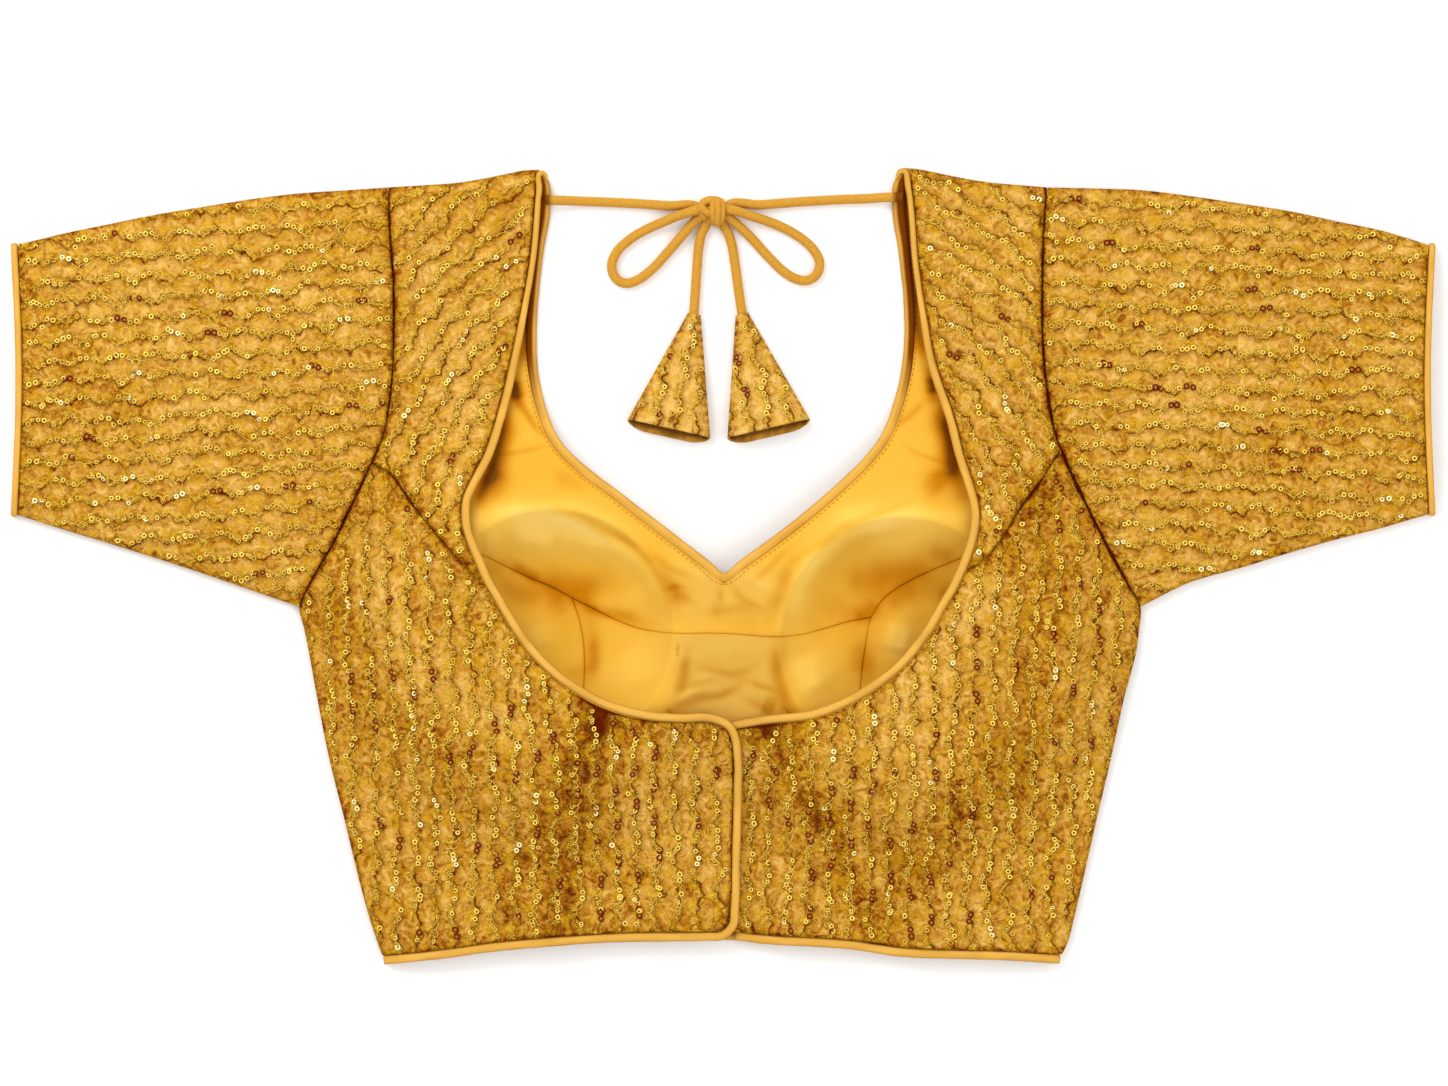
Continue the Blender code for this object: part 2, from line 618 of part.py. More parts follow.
def front_neck_line():
    """Outer edge of the front neckline, from the left shoulder to the right one."""
    left = curve_through(table_by_y(FRONT_NECK, "left") + [NECK_POINT], EDGE_PITCH)
    right = curve_through(table_by_y(FRONT_NECK, "right") + [NECK_POINT], EDGE_PITCH)
    return np.vstack([left, right[-2::-1]])


def shoulder_line(side, inner):
    """The shoulder's top edge from the armhole to a distance from the middle."""
    rows = [row for row in SHOULDER if row[0] > inner + 1]
    lefts, rights = ([row[k] for row in SHOULDER][::-1] for k in (1, 2))
    far = [row[0] for row in SHOULDER][::-1]
    rows.append((inner, np.interp(inner, far, lefts), np.interp(inner, far, rights)))
    start = cut_at_y(seam(table_by_y(ARMHOLE, side)), ARM_TOP, ARM_LOW)[0]
    return seam([start] + table_by_x(rows[1:], side))


def front_outlines():
    """Outlines of the front's four panels, which the lining shares."""
    armhole = {side: seam(table_by_y(ARMHOLE, side)) for side in SIDES}
    neck = front_neck_line()
    upper = []
    for side in ("left", "right"):
        inner = abs(neck[0][0]) if side == "left" else abs(neck[-1][0])
        top = cut_at_y(armhole[side], ARM_TOP, PRINCESS_AT_ARMHOLE)
        shoulder = shoulder_line(side, inner)
        princess = seam(PRINCESS_TOP[side])
        upper.append((princess, top, shoulder))
    (princess_l, top_l, shoulder_l), (princess_r, top_r, shoulder_r) = upper
    underbust = seam(UNDERBUST)
    parts = [
        (princess_l[::-1], SEAM), (top_l[::-1], SEAM), (shoulder_l, SEAM),
        (np.vstack([shoulder_l[-1:], neck[1:-1], shoulder_r[-1:]]), EDGE_INSET),
        (shoulder_r[::-1], SEAM), (top_r, SEAM), (princess_r, SEAM), (underbust[::-1], SEAM),
    ]
    outlines = {"upper": joined_outline(parts)}
    low = {side: seam(PRINCESS_LOW[side]) for side in SIDES}
    for side in SIDES:
        hem_start = abs(low[side][-1][0])
        bottom = cut_at_y(armhole[side], PRINCESS_AT_ARMHOLE, ARM_LOW)
        hem = hem_line(side, hem_start, HEM_END, FRONT_RISE)
        down = np.vstack([low[side][:-1], hem[:1]])
        outlines["side_" + side] = joined_outline([
            (seam(PRINCESS_TOP[side]), SEAM), (down, SEAM), (hem, EDGE_INSET),
            (np.vstack([hem[-1:], side_line(side)[-2::-1]]), SEAM), (bottom[::-1], SEAM),
        ])
    left_hem = hem_line("left", HEM_START, abs(low["left"][-1][0]), FRONT_RISE)
    right_hem = hem_line("right", HEM_START, abs(low["right"][-1][0]), FRONT_RISE)
    outlines["band"] = joined_outline([
        (underbust, SEAM), (np.vstack([low["right"][:-1], right_hem[-1:]]), SEAM),
        (np.vstack([right_hem[::-1], left_hem]), EDGE_INSET),
        (np.vstack([left_hem[-1:], low["left"][-2::-1]]), SEAM),
    ])
    return outlines


def make_front():
    """Front panels and the lining over them, made on the same triangles."""
    for name, outline in front_outlines().items():
        plan = plan_triangles(outline, WIDE_PITCH, CUP_PITCH)
        wall("front_" + name, plan, front_under, front_over, "sequin_net")
        wall("lining_" + name, plan, lining_under, lining_over, "satin")


# ---------------------------------------------------------------- back

def back_neck_line(side):
    """Middle of the back neck piping, from the shoulder down."""
    return curve_through(table_by_y(BACK_NECK, side), NECK_PITCH)


def yoke_seam(side):
    """Seam between yoke and back, from the armhole to the neck piping."""
    neck = cut_at_y(back_neck_line(side), NECK_TOP, YOKE_AT_NECK[side])
    arm = cut_at_y(seam(table_by_y(ARMHOLE, side)), ARM_TOP, YOKE_AT_ARMHOLE[side])
    return seam([tuple(arm[-1])] + list(YOKE[side]) + [tuple(neck[-1])])


def make_yoke(side):
    """Shoulder piece of the back."""
    neck = cut_at_y(back_neck_line(side), NECK_TOP, YOKE_AT_NECK[side])
    arm = cut_at_y(seam(table_by_y(ARMHOLE, side)), ARM_TOP, YOKE_AT_ARMHOLE[side])
    yoke = yoke_seam(side)
    shoulder = shoulder_line(side, abs(neck[0][0]))
    outline = joined_outline([
        (yoke, SEAM), (np.vstack([neck[::-1][:-1], shoulder[-1:]]), NECK_INSET),
        (shoulder[::-1], SEAM), (arm, SEAM),
    ])
    wall("yoke_" + side, plan_triangles(outline, BACK_PITCH), back_under, back_over, "sequin_net")


def left_back_edge():
    """Middle of the piping from the left shoulder round the neck and centre to the side seam."""
    hem = [(x, y + PIPE_WIDTH / 2) for x, y in table_by_x(HEM, "left")]
    return curve_through(table_by_y(BACK_NECK, "left") + list(LEFT_CENTRE) + hem, NECK_PITCH)


def after_neck_joint(line, side):
    """The stretch of an edge that starts where the yoke seam meets the neckline."""
    below = np.argmax(line[:, 1] < YOKE_AT_NECK[side] - 0.5)
    return np.vstack([yoke_seam(side)[-1:], line[below:]])


def make_left_back():
    """Left back panel, which laps over the right one."""
    side = "left"
    edge = after_neck_joint(left_back_edge(), side)
    arm = cut_at_y(seam(table_by_y(ARMHOLE, side)), YOKE_AT_ARMHOLE[side], ARM_LOW)
    yoke = yoke_seam(side)
    outline = joined_outline([
        (yoke, SEAM), (edge, NECK_INSET), (np.vstack([edge[-1:], side_line(side)[-2::-1]]), SEAM),
        (arm[::-1], SEAM),
    ])
    wall("back_left", plan_triangles(outline, BACK_PITCH), back_under, back_over, "sequin_net")


def make_right_back():
    """Right back panel, which runs on under the left one."""
    side = "right"
    neck = curve_through(table_by_y(BACK_NECK, side) + list(RIGHT_CENTRE), NECK_PITCH)
    edge = after_neck_joint(neck, side)
    arm = cut_at_y(seam(table_by_y(ARMHOLE, side)), YOKE_AT_ARMHOLE[side], ARM_LOW)
    yoke = yoke_seam(side)
    hem = hem_line(side, HEM_START, HEM_END, PIPE_WIDTH / 2)
    top = edge[-1][1]
    hidden = [(edge[-1][0], top), (LAP_END, top - LAP_TOP_DIP), (LAP_END, LAP_LOW), tuple(hem[0])]
    outline = joined_outline([
        (yoke, SEAM), (edge, NECK_INSET), (respace(np.array(hidden), EDGE_PITCH), NECK_INSET),
        (hem, NECK_INSET), (np.vstack([hem[-1:], side_line(side)[-2::-1]]), SEAM),
        (arm[::-1], SEAM),
    ])
    plan = plan_triangles(outline, BACK_PITCH)
    wall("back_right", plan, right_back_under, right_back_over, "sequin_net")


# ---------------------------------------------------------------- sleeves

def sleeve_plan(side, share, across):
    """A plan point of the sleeve: share from cuff to armhole, across from underarm to top."""
    sign = SIDES[side]
    top = curve_through(table_by_x(SLEEVE_TOP, side), SLEEVE_EDGE_PITCH)
    bottom = curve_through(table_by_x(SLEEVE_BOTTOM, side), SLEEVE_EDGE_PITCH)
    arm = curve_through(table_by_y(ARMHOLE, side), SLEEVE_EDGE_PITCH)[::-1]

    def on(line, t):
        along = np.linspace(0.0, 1.0, len(line))
        return np.array([np.interp(t, along, line[:, k]) for k in (0, 1)])

    cuff = on(np.array([bottom[0], top[0]]), across)
    bow = CUFF_BOW * math.sin(math.pi * across)
    cuff = cuff + (sign * (CUFF_REACH[side] - bow - PIPE_WIDTH - GAP), 0.0)
    arm_end = on(arm, across) + (sign * SLEEVE_SEAM, 0.0)
    low, high = on(bottom, share), on(top, share)
    ruled_across = low * (1 - across) + high * across
    ruled_along = cuff * (1 - share) + arm_end * share
    corners = (
        bottom[0] * (1 - share) * (1 - across) + top[0] * (1 - share) * across
        + bottom[-1] * share * (1 - across) + top[-1] * share * across
    )
    return ruled_across + ruled_along - corners


def sleeve_loop(side, share, inset):
    """One loop round the sleeve: under side from underarm to top, then back over it."""
    low = sleeve_plan(side, share, 0.0)
    high = sleeve_plan(side, share, 1.0)
    margin = inset / np.linalg.norm(high - low)
    loop = []
    for layer in ("under", "over"):
        for k in range(SLEEVE_ACROSS + 1):
            across = (1 - math.cos(math.pi * k / SLEEVE_ACROSS)) / 2
            across = margin + across * (1 - 2 * margin)
            across = across if layer == "under" else 1 - across
            x, y = sleeve_plan(side, share, across)
            height = inset if layer == "under" else float(back_over(x, y)) - inset
            loop.append((x, y, height))
    return loop


def make_sleeve(side):
    """A sleeve: a tube of cloth folded flat, open at the cuff and the armhole."""
    shares = np.linspace(0.0, 1.0, SLEEVE_STATIONS)
    outer = [sleeve_loop(side, share, 0.0) for share in shares]
    inner = [sleeve_loop(side, share, BACK) for share in shares]
    ring = 2 * (SLEEVE_ACROSS + 1)
    points = [p for loop in outer for p in loop] + [p for loop in inner for p in loop]
    start_inner = ring * SLEEVE_STATIONS
    faces = []
    for station in range(SLEEVE_STATIONS - 1):
        for k in range(ring):
            after = (k + 1) % ring
            here, there = station * ring, (station + 1) * ring
            faces.append((here + k, here + after, there + after, there + k))
            faces.append(tuple(start_inner + i for i in
                               (there + k, there + after, here + after, here + k)))
    for station in (0, SLEEVE_STATIONS - 1):
        here = station * ring
        for k in range(ring):
            after = (k + 1) % ring
            faces.append((here + k, here + after, start_inner + here + after, start_inner + here + k))
    make_object("sleeve_" + side, points, faces, "sequin_net")


# ---------------------------------------------------------------- piping

def lifted(line, height):
    """Path points over a plan line at a height function's level."""
    line = np.asarray(line, float)
    return np.column_stack([line, height(line[:, 0], line[:, 1])])


def make_piping():
    """Piping of the neck, centre back and hem."""
    def on_back(x, y):
        over_front = np.where(y > 0, 1.5 * NECK_PIPE_HEIGHT + GAP, 0.0)
        return np.maximum(back_under(x, y) + BACK / 2, over_front)

    def on_right_back(x, y):
        return on_back(x, y) - lap_drop(x)

    def on_front(x, y):
        return front_under(x, y) + NECK_PIPE_HEIGHT / 2

    def on_front_hem(x, y):
        return front_under(x, y) + HEM_PIPE_HEIGHT / 2

    edge = thinned(lifted(left_back_edge(), on_back))
    pressed = eased((HEM_CORNER + HEM_PRESS - edge[:, 1]) / (2 * HEM_PRESS))
    heights = NECK_PIPE_HEIGHT + (HEM_PIPE_HEIGHT - NECK_PIPE_HEIGHT) * pressed
    rib("piping_back_left", edge, PIPE_WIDTH, heights, "piping_satin")
    neck = curve_through(table_by_y(BACK_NECK, "right") + list(RIGHT_CENTRE), NECK_PITCH)
    rib("piping_neck_right", thinned(lifted(neck, on_right_back)), PIPE_WIDTH, NECK_PIPE_HEIGHT,
        "piping_satin")
    hem = hem_line("right", HEM_START, HEM_END, PIPE_WIDTH / 2)
    rib("piping_hem_right", thinned(lifted(hem, on_right_back)), PIPE_WIDTH, HEM_PIPE_HEIGHT,
        "piping_satin")
    front = offset_line(front_neck_line(), -PIPE_WIDTH / 2)
    rib("piping_neck_front", thinned(lifted(front, on_front)), PIPE_WIDTH, NECK_PIPE_HEIGHT,
        "piping_satin")
    lower = np.vstack([
        hem_line("left", HEM_START, HEM_END, PIPE_WIDTH / 2 + FRONT_RISE)[::-1],
        hem_line("right", HEM_START, HEM_END, PIPE_WIDTH / 2 + FRONT_RISE),
    ])
    rib("piping_hem_front", thinned(lifted(lower, on_front_hem)), PIPE_WIDTH, HEM_PIPE_HEIGHT,
        "piping_satin")


def make_cuff(side):
    """Piping round the cuff."""
    sign = SIDES[side]
    half = CUFF_PIPE_HEIGHT / 2
    path = []
    for layer in ("under", "over"):
        for k in range(SLEEVE_ACROSS + 1):
            across = (1 - math.cos(math.pi * k / SLEEVE_ACROSS)) / 2
            across = across if layer == "under" else 1 - across
            x, y = sleeve_plan(side, 0.0, across)
            top = float(back_over(x, y)) - BACK / 2
            height = half if layer == "under" else top
            path.append((x + sign * (PIPE_WIDTH / 2 + GAP), y, height))
    rib("piping_cuff_" + side, path, PIPE_WIDTH, CUFF_PIPE_HEIGHT, "piping_satin",
        closed=True, across=(1, 0, 0))


# ---------------------------------------------------------------- cord, knot, cones

def make_cord(name, route):
    """A round cord along a route."""
    path = curve_through(route, CORD_STEP)
    data = bpy.data.curves.new(name, "CURVE")
    data.dimensions = "3D"
    data.bevel_depth = CORD / 2 * MM
    data.bevel_resolution = 2
    data.use_fill_caps = True
    spline = data.splines.new("POLY")
    spline.points.add(len(path) - 1)
    for point, place in zip(spline.points, path):
        point.co = (*(c * MM for c in place), 1.0)
    data.materials.append(cloth("piping_satin"))
    made = bpy.data.objects.new(name, data)
    bpy.context.collection.objects.link(made)


def make_knot():
    """The bow's knot: a bundle with the grooves of the cord wound round it."""
    points = [(KNOT_CENTRE[0], KNOT_CENTRE[1] - KNOT_HALF[1], KNOT_CENTRE[2])]
    for ring in range(1, KNOT_RINGS):
        polar = math.pi * ring / KNOT_RINGS
        for k in range(KNOT_ROUND):
            angle = 2 * math.pi * k / KNOT_ROUND
            x = math.sin(polar) * math.cos(angle)
            z = math.sin(polar) * math.sin(angle)
            y = -math.cos(polar)
            swell = 1 - KNOT_GROOVE * (0.5 + 0.5 * math.cos(KNOT_WRAPS * math.pi * x)) * math.sin(polar)
            points.append((
                KNOT_CENTRE[0] + KNOT_HALF[0] * x * swell,
                KNOT_CENTRE[1] + KNOT_HALF[1] * y,
                max(0.0, KNOT_CENTRE[2] + KNOT_HALF[2] * z * swell),
            ))
    points.append((KNOT_CENTRE[0], KNOT_CENTRE[1] + KNOT_HALF[1], KNOT_CENTRE[2]))
    last = len(points) - 1
    faces = []
    for k in range(KNOT_ROUND):
        after = (k + 1) % KNOT_ROUND
        faces.append((0, 1 + k, 1 + after))
        end = 1 + (KNOT_RINGS - 2) * KNOT_ROUND
        faces.append((last, end + after, end + k))
        for ring in range(KNOT_RINGS - 2):
            here, there = 1 + ring * KNOT_ROUND, 1 + (ring + 1) * KNOT_ROUND
            faces.append((here + k, there + k, there + after, here + after))
    make_object("bow_knot", points, faces, "piping_satin")


def cone_loop(side, share, inset):
    """One loop of the cone: flat beneath, rounded over, lips apart at the mouth."""
    top, mouth = np.array(CONE_TOP[side]), np.array(CONE_MOUTH[side])
    axis = (mouth - top) / np.linalg.norm(mouth - top)
    across = np.array([-axis[1], axis[0]])
    half = CONE_TOP_HALF + (CONE_MOUTH_HALF - CONE_TOP_HALF) * share - inset
    height = CONE_TOP_HEIGHT + (CONE_MOUTH_HEIGHT - CONE_TOP_HEIGHT) * share
    loop = []
    for k in range(CONE_ROUND):
        angle = 2 * math.pi * (k + 0.5) / CONE_ROUND
        wide = math.copysign(abs(math.cos(angle)) ** CONE_SQUARE, math.cos(angle))
        rise = max(-1.0, math.sin(angle) * (1.0 if math.sin(angle) > 0 else CONE_FLAT))
        level = height * CONE_BELLY + height * (1 - CONE_BELLY if rise > 0 else CONE_BELLY) * rise
        level = inset + level * (height - 2 * inset) / height
        reach = -CONE_LIP * rise * share**3
        place = top + (mouth - top) * share + axis * reach + across * half * wide
        loop.append((place[0], place[1], level))
    return loop


def make_cone(side):
    """A hollow cone of cloth, open at the wide end."""
    shares = np.linspace(0.0, 1.0, CONE_STATIONS)
    outer = [cone_loop(side, share, 0.0) for share in shares]
    inner = [cone_loop(side, share, CONE_WALL) for share in shares[1:]]
    loops = outer + inner[::-1]
    points = [p for loop in loops for p in loop]
    faces = [tuple(range(CONE_ROUND))]
    for number in range(len(loops) - 1):
        here, there = number * CONE_ROUND, (number + 1) * CONE_ROUND
        for k in range(CONE_ROUND):
            after = (k + 1) % CONE_ROUND
            faces.append((here + k, here + after, there + after, there + k))
    faces.append(tuple(range(len(points) - CONE_ROUND, len(points))))
    make_object("latkan_" + side, points, faces, "sequin_net")


def main():
    """Build the blouse."""
    for old in list(bpy.data.objects):
        bpy.data.objects.remove(old, do_unlink=True)
    make_front()
    make_left_back()
    make_right_back()
    make_piping()
    make_knot()
    for side in SIDES:
        make_yoke(side)
        make_sleeve(side)
        make_cuff(side)
        make_cord("dori_tie_" + side, TIE[side])
        make_cord("bow_loop_" + side, LOOP[side])
        make_cord("bow_tail_" + side, TAIL[side])
        make_cone(side)


main()
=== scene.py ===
"""Looks of the choli blouse: embroidered cloth, satin lining, piping, cord and cones.

Everything is worked out in millimetres in the frame's own axes and turned into metres as each
mesh is made. The tables, curves and heights are the ones that the solids are built from.
"""
import math
import random

import bpy
import numpy as np
from mathutils.geometry import delaunay_2d_cdt
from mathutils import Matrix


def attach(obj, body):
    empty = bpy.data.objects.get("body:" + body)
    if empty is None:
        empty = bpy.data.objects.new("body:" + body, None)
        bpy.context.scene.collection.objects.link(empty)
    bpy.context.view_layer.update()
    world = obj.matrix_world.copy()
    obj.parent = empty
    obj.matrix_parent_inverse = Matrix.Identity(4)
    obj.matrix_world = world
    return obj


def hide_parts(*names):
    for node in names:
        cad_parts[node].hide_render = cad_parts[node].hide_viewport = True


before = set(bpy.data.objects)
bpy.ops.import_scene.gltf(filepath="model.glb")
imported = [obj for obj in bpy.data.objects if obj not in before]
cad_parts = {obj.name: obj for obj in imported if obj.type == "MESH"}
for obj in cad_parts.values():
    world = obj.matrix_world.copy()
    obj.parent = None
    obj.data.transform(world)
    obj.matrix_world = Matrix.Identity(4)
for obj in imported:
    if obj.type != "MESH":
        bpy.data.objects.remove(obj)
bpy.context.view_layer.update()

MM = 0.001
UP = (0, 0, 1)
SIDES = {"left": -1, "right": 1}

# Cloth, seams and piping, as in the solids
SHELL, LINING, BACK, GAP = 1.2, 1, 1.4, 0.3
SLEEVE_SEAM = 0.25
PIPE_WIDTH = 4.4
NECK_PIPE_HEIGHT, HEM_PIPE_HEIGHT, CUFF_PIPE_HEIGHT = 3.4, 2.2, 2
EDGE_PITCH, NECK_PITCH, SLEEVE_EDGE_PITCH = 12, 8, 6

# Cups and the space between the layers
CUP_RADIUS, CUP_HEIGHT, CUP_REST, CUP_SPREAD, CUP_BLEND, PAD = 63, 22, 0.22, 66, 4, 3.5
CUP_CENTRE = {"left": (-88, -33), "right": (93, -37)}
CUP_DEEP = {"left": (-78, -22), "right": (82, -28)}
CLOSED_SPACE, BODY_SPACE, STRAP_SPACE, SPACE_REACH = 0.3, 6.8, 2.6, 14
STRAP_OUT, STRAP_IN, STRAP_LOW, STRAP_HIGH = 170, 130, 20, 90
FOLD_FADE = 30
LAP_DROP, LAP_FROM, LAP_TO = 4.4, 40, 13

# Outlines: rows of y, left x, right x (x as a distance from the middle)
SIDE_SEAM = (
    (-21, 220, 217.9), (-40, 216, 216.4), (-70, 210.5, 209), (-100, 204.5, 202.5),
    (-132, 196.5, 195), (-163, 189, 188), (-194, 180, 180.5), (-207, 174.8, 176.8),
)
ARMHOLE = (
    (197.2, 173.8, 169.2), (173, 172.6, 167.2), (147, 170.8, 166.6), (122, 170.6, 166.6),
    (90, 172.3, 169.2), (67, 176.5, 173.9), (52, 183, 180), (33, 192, 189),
    (10, 203.3, 200.5), (-9, 214.6, 211), (-21, 220, 217.9),
)
BACK_NECK = (           # middle of the piping
    (206, 94, 94.8), (191, 95, 97.2), (158, 98, 100), (129, 103.2, 104.4),
    (107, 107.8, 108.6), (76, 115.4, 118.8), (55, 122.4, 124), (44, 128.2, 127.6),
    (34, 132.4, 130.4), (23, 132.6, 131.2), (12.6, 129.8, 129.2), (2, 125.4, 125.4),
    (-8.7, 120.6, 120.8), (-19, 114.4, 114.8), (-30, 108, 108.6), (-40.5, 100.8, 101.3),
    (-51, 91.2, 92.2), (-62, 77.5, 78.2), (-72, 58.5, 60.5), (-76.6, 42, 47),
)
FRONT_NECK = (          # outer edge of the piping
    (204, 90.5, 90), (188, 89.2, 88.6), (167, 92.6, 91.5), (146, 95.2, 94.1),
    (125, 96.7, 95.2), (105, 96.3, 94), (84, 92.2, 89.2), (73.5, 88.6, 85.4),
    (63, 82.4, 79.6), (52.6, 71.8, 70.2), (42.2, 58.2, 59.4), (21.4, 31.2, 34.6),
)
NECK_POINT = (1, -3)
# Rows of distance from the middle, left y, right y
SHOULDER = (
    (172, 197.2, 197.2), (157, 198.2, 198.2), (136, 199.8, 200.2), (115.4, 203.5, 204),
    (100, 206.4, 207), (92, 206.8, 207.6),
)
HEM = (                 # lower edge of the piping
    (7, -194.9, -194.6), (22, -195, -196.5), (45, -195.2, -197.7), (65, -196, -199),
    (93, -198, -203), (120, -200.5, -204.2), (145, -204, -204.8), (175.8, -207.3, -206.8),
)
HEM_START, HEM_END = 22, 175.6
TUCKED = 7              # where the right back's trims begin, under the left back's
SLEEVE_TOP = (
    (369.5, 167.4, 167.3), (345, 173.2, 174.8), (323, 177.6, 179.3), (297, 182.8, 184.9),
    (271, 187, 188.9), (245, 191, 192.8), (220, 194, 195.8), (193.5, 195.7, 196.7),
    (171.5, 197.2, 197.2),
)
SLEEVE_BOTTOM = (
    (369.5, 26.6, 27), (345, 19, 19.8), (323, 12.5, 14.3), (297, 4.6, 7),
    (271, -3.6, -1), (245, -12.4, -8.3), (219, -21, -21),
)
CUFF_BOW = 2.8
CUFF_PIPE = 3.4         # width of the piping seen at the cuffs
CUFF_REACH = {"left": 0.6, "right": 1.8}
LEFT_CENTRE = (         # middle of the piping round the left back's centre edge
    (-22, -78.6), (-5.5, -78.8), (2.4, -81.6), (6.4, -88), (8.2, -99), (8.2, -119),
    (7.4, -150), (6.6, -178), (5.4, -187.2), (1, -191.7), (-7, -192.5),
)
HEM_CORNER, HEM_PRESS, FRONT_RISE = -160, 12, 1
RIGHT_CENTRE = ((24, -79.4), (10.8, -81.6))
FOLDS = (               # height (a trough is negative), half width, points
    (-2.6, 11, ((-62, -80), (-58.5, -98), (-57.5, -118), (-62, -140))),
    (1.8, 13, ((-82, -74), (-84, -110), (-88, -160), (-86, -196))),
    (-2.2, 12, ((57, -138), (66, -155), (73, -170), (84, -182), (82, -203))),
    (-2.6, 12, ((168, 36), (166, 10), (163, -44), (160, -96))),
    (1.8, 13, ((140, -30), (142, -90), (146, -150))),
    (1.8, 12, ((-178, 40), (-172, 10), (-160, -40), (-152, -90))),
    (-1.8, 12, ((-196, 12), (-192, -20), (-180, -60))),
    (-1.4, 14, ((-214, -10), (-240, 20), (-268, 60))),
    (-1.4, 14, ((212, -8), (238, 22), (266, 64))),
)

# The cord's route: rows of x, y, height of its middle, left out where it lies on the surface
CORD, CORD_LIE = 5, 2.72
TIE = {
    "left": ((-92, 190.6, 6.8), (-88, 190.4, 6.6), (-82, 190.3, 5), (-74, 190, 3.1), (-63, 189.6),
             (-42, 188.6), (-27, 187.6), (-12.6, 186.9)),
    "right": ((94, 192, 6.8), (89, 192, 6.6), (83, 191.8, 5), (75, 191.3, 3.1), (66, 191),
              (41, 189.7), (20, 188.1), (2.2, 187)),
}
LOOP = {
    "left": ((-12.9, 185.2, 8.6), (-18.5, 183.7, 8), (-24, 181.8, 6.2), (-32, 178.5, 3.9),
             (-40.4, 174.7), (-48.6, 169.6), (-54.6, 163.8), (-57.5, 156.2), (-56.6, 151.8),
             (-53.7, 148.4), (-49.4, 147.2), (-44.8, 148.5), (-37, 154), (-28.6, 163),
             (-20, 173, 3.2), (-12.8, 181.2, 4.6)),
    "right": ((2.6, 185.8, 8.6), (8, 184.6, 8), (14, 182.6, 6.4), (22, 180.1, 4.2), (32.5, 175.9),
              (40.8, 171), (47.3, 165.2), (50.8, 158.2), (50.2, 153.6), (47.4, 150), (43, 148.6),
              (38.4, 149.6), (32.4, 153.1), (24.6, 160.6), (14.6, 171.5, 3), (8.5, 177.3, 3.8),
              (2.6, 182.2, 4.8)),
}
TAIL = {
    "left": ((-8.5, 177.6), (-10.8, 172.6), (-12.2, 165.2), (-13.2, 153), (-14, 141),
             (-14.8, 130.2)),
    "right": ((0.4, 177.8), (2.9, 174), (4.9, 168), (6.7, 157.5), (8.5, 144.5), (10.6, 130.2)),
}
UNDER_KNOT = {
    "left": ((-9.5, 184.2), (-8.5, 182.1)),
    "right": ((1.1, 185.6), (0.1, 182.8)),
}

# The cones at the cord's ends
CONE_WALL, CONE_TOP_HALF, CONE_MOUTH_HALF = 1.2, 4, 22
CONE_TOP_HEIGHT, CONE_MOUTH_HEIGHT, CONE_BELLY = 6.2, 13, 0.42
LIP_OVER, LIP_UNDER = 0.2, 4.4          # how far the mouth's two lips stand back and forward
CONE_FLAT, CONE_SQUARE = 1.2, 0.9
CONE_TOP = {"left": (-14.8, 129.2), "right": (10.8, 129.2)}
CONE_MOUTH = {"left": (-27.6, 71.6), "right": (24.2, 71.6)}

# Embroidery: wavy rows of sequins and gold thread, with the cloth puckered between them
ROW_PITCH = 10.4        # between rows
MOTIF_PITCH = 18.4      # between motifs along a row; the next row's lie half way between
WAVE = 1.5              # how far a row swings to each side
SCALLOPS, SCALLOP = 3, 1.5              # scallops a motif, and how far they hang
# How the rows wander aside and along: amount, size and seed of each layer of noise
SIDE_WANDER = ((1.9, 34, 3), (1.5, 12, 4))
LONG_WANDER = ((3, 42, 5), (1.4, 15, 6))
RIDGE, RIDGE_HALF = 0.5, 1.5            # the cloth's rise under a row's thread
CREASE, CREASE_HALF, CREASE_OFF = 0.8, 1, 2.2       # the crease beside it, away from the light
PILLOW, PILLOW_FROM = 0.7, 3            # its rise between rows, and how near them it is reached
SEQUIN = 1.65           # radius
SEQUIN_HOLE = 0.85
SEQUIN_SIDES = 10
PAIR = 1.7              # from the middle of a pair of sequins to the middle of each
THREAD = 0.22           # radius of the gold thread
THREAD_TURN = 3.2       # between its loops
THREAD_LENGTHS = (6, 12)
PAIR_CHANCE = 0.85      # that a motif begins with a pair of sequins and not with one
SINGLES = (0.26, 0.44, 0.62, 0.8)       # where single ones may follow along a motif
SINGLE_CHANCE, SECOND_CHANCE = 0.5, 0.35
STRAY, STRAY_CHANCE = 3.2, 0.3          # how far off the row some of them lie
STRAND_CHANCES = (0.9, 0.3)             # of a motif's first and second strand of thread
TIPPED_CHANCE = 0.1     # of a sequin that stands up from the cloth
BROWN_SIZES, GOLD_SIZES = (0.92, 1.05), (0.72, 0.92)
# A line that the rows of each panel run beside
ROWS = {
    "back_left": ((-100, 90), (-101, 0), (-98, -100), (-96, -230)),
    "back_right": ((100, 90), (101, 0), (98, -100), (97, -230)),
    "yoke_left": ((-170, -60), (-170, -17), (-167.4, 14), (-154.4, 50), (-133.6, 86.5), (-105, 120),
                  (-68.6, 145), (-20, 165)),
    "yoke_right": ((168, -60), (168, -17), (166, 14), (156, 50), (135, 84), (100, 112), (60, 132),
                   (10, 148)),
    "sleeve_left": ((-400, 92), (-260, 100), (-140, 108)),
    "sleeve_right": ((140, 108), (260, 102), (400, 97)),
    "front": ((0, 240), (0, -230)),
}

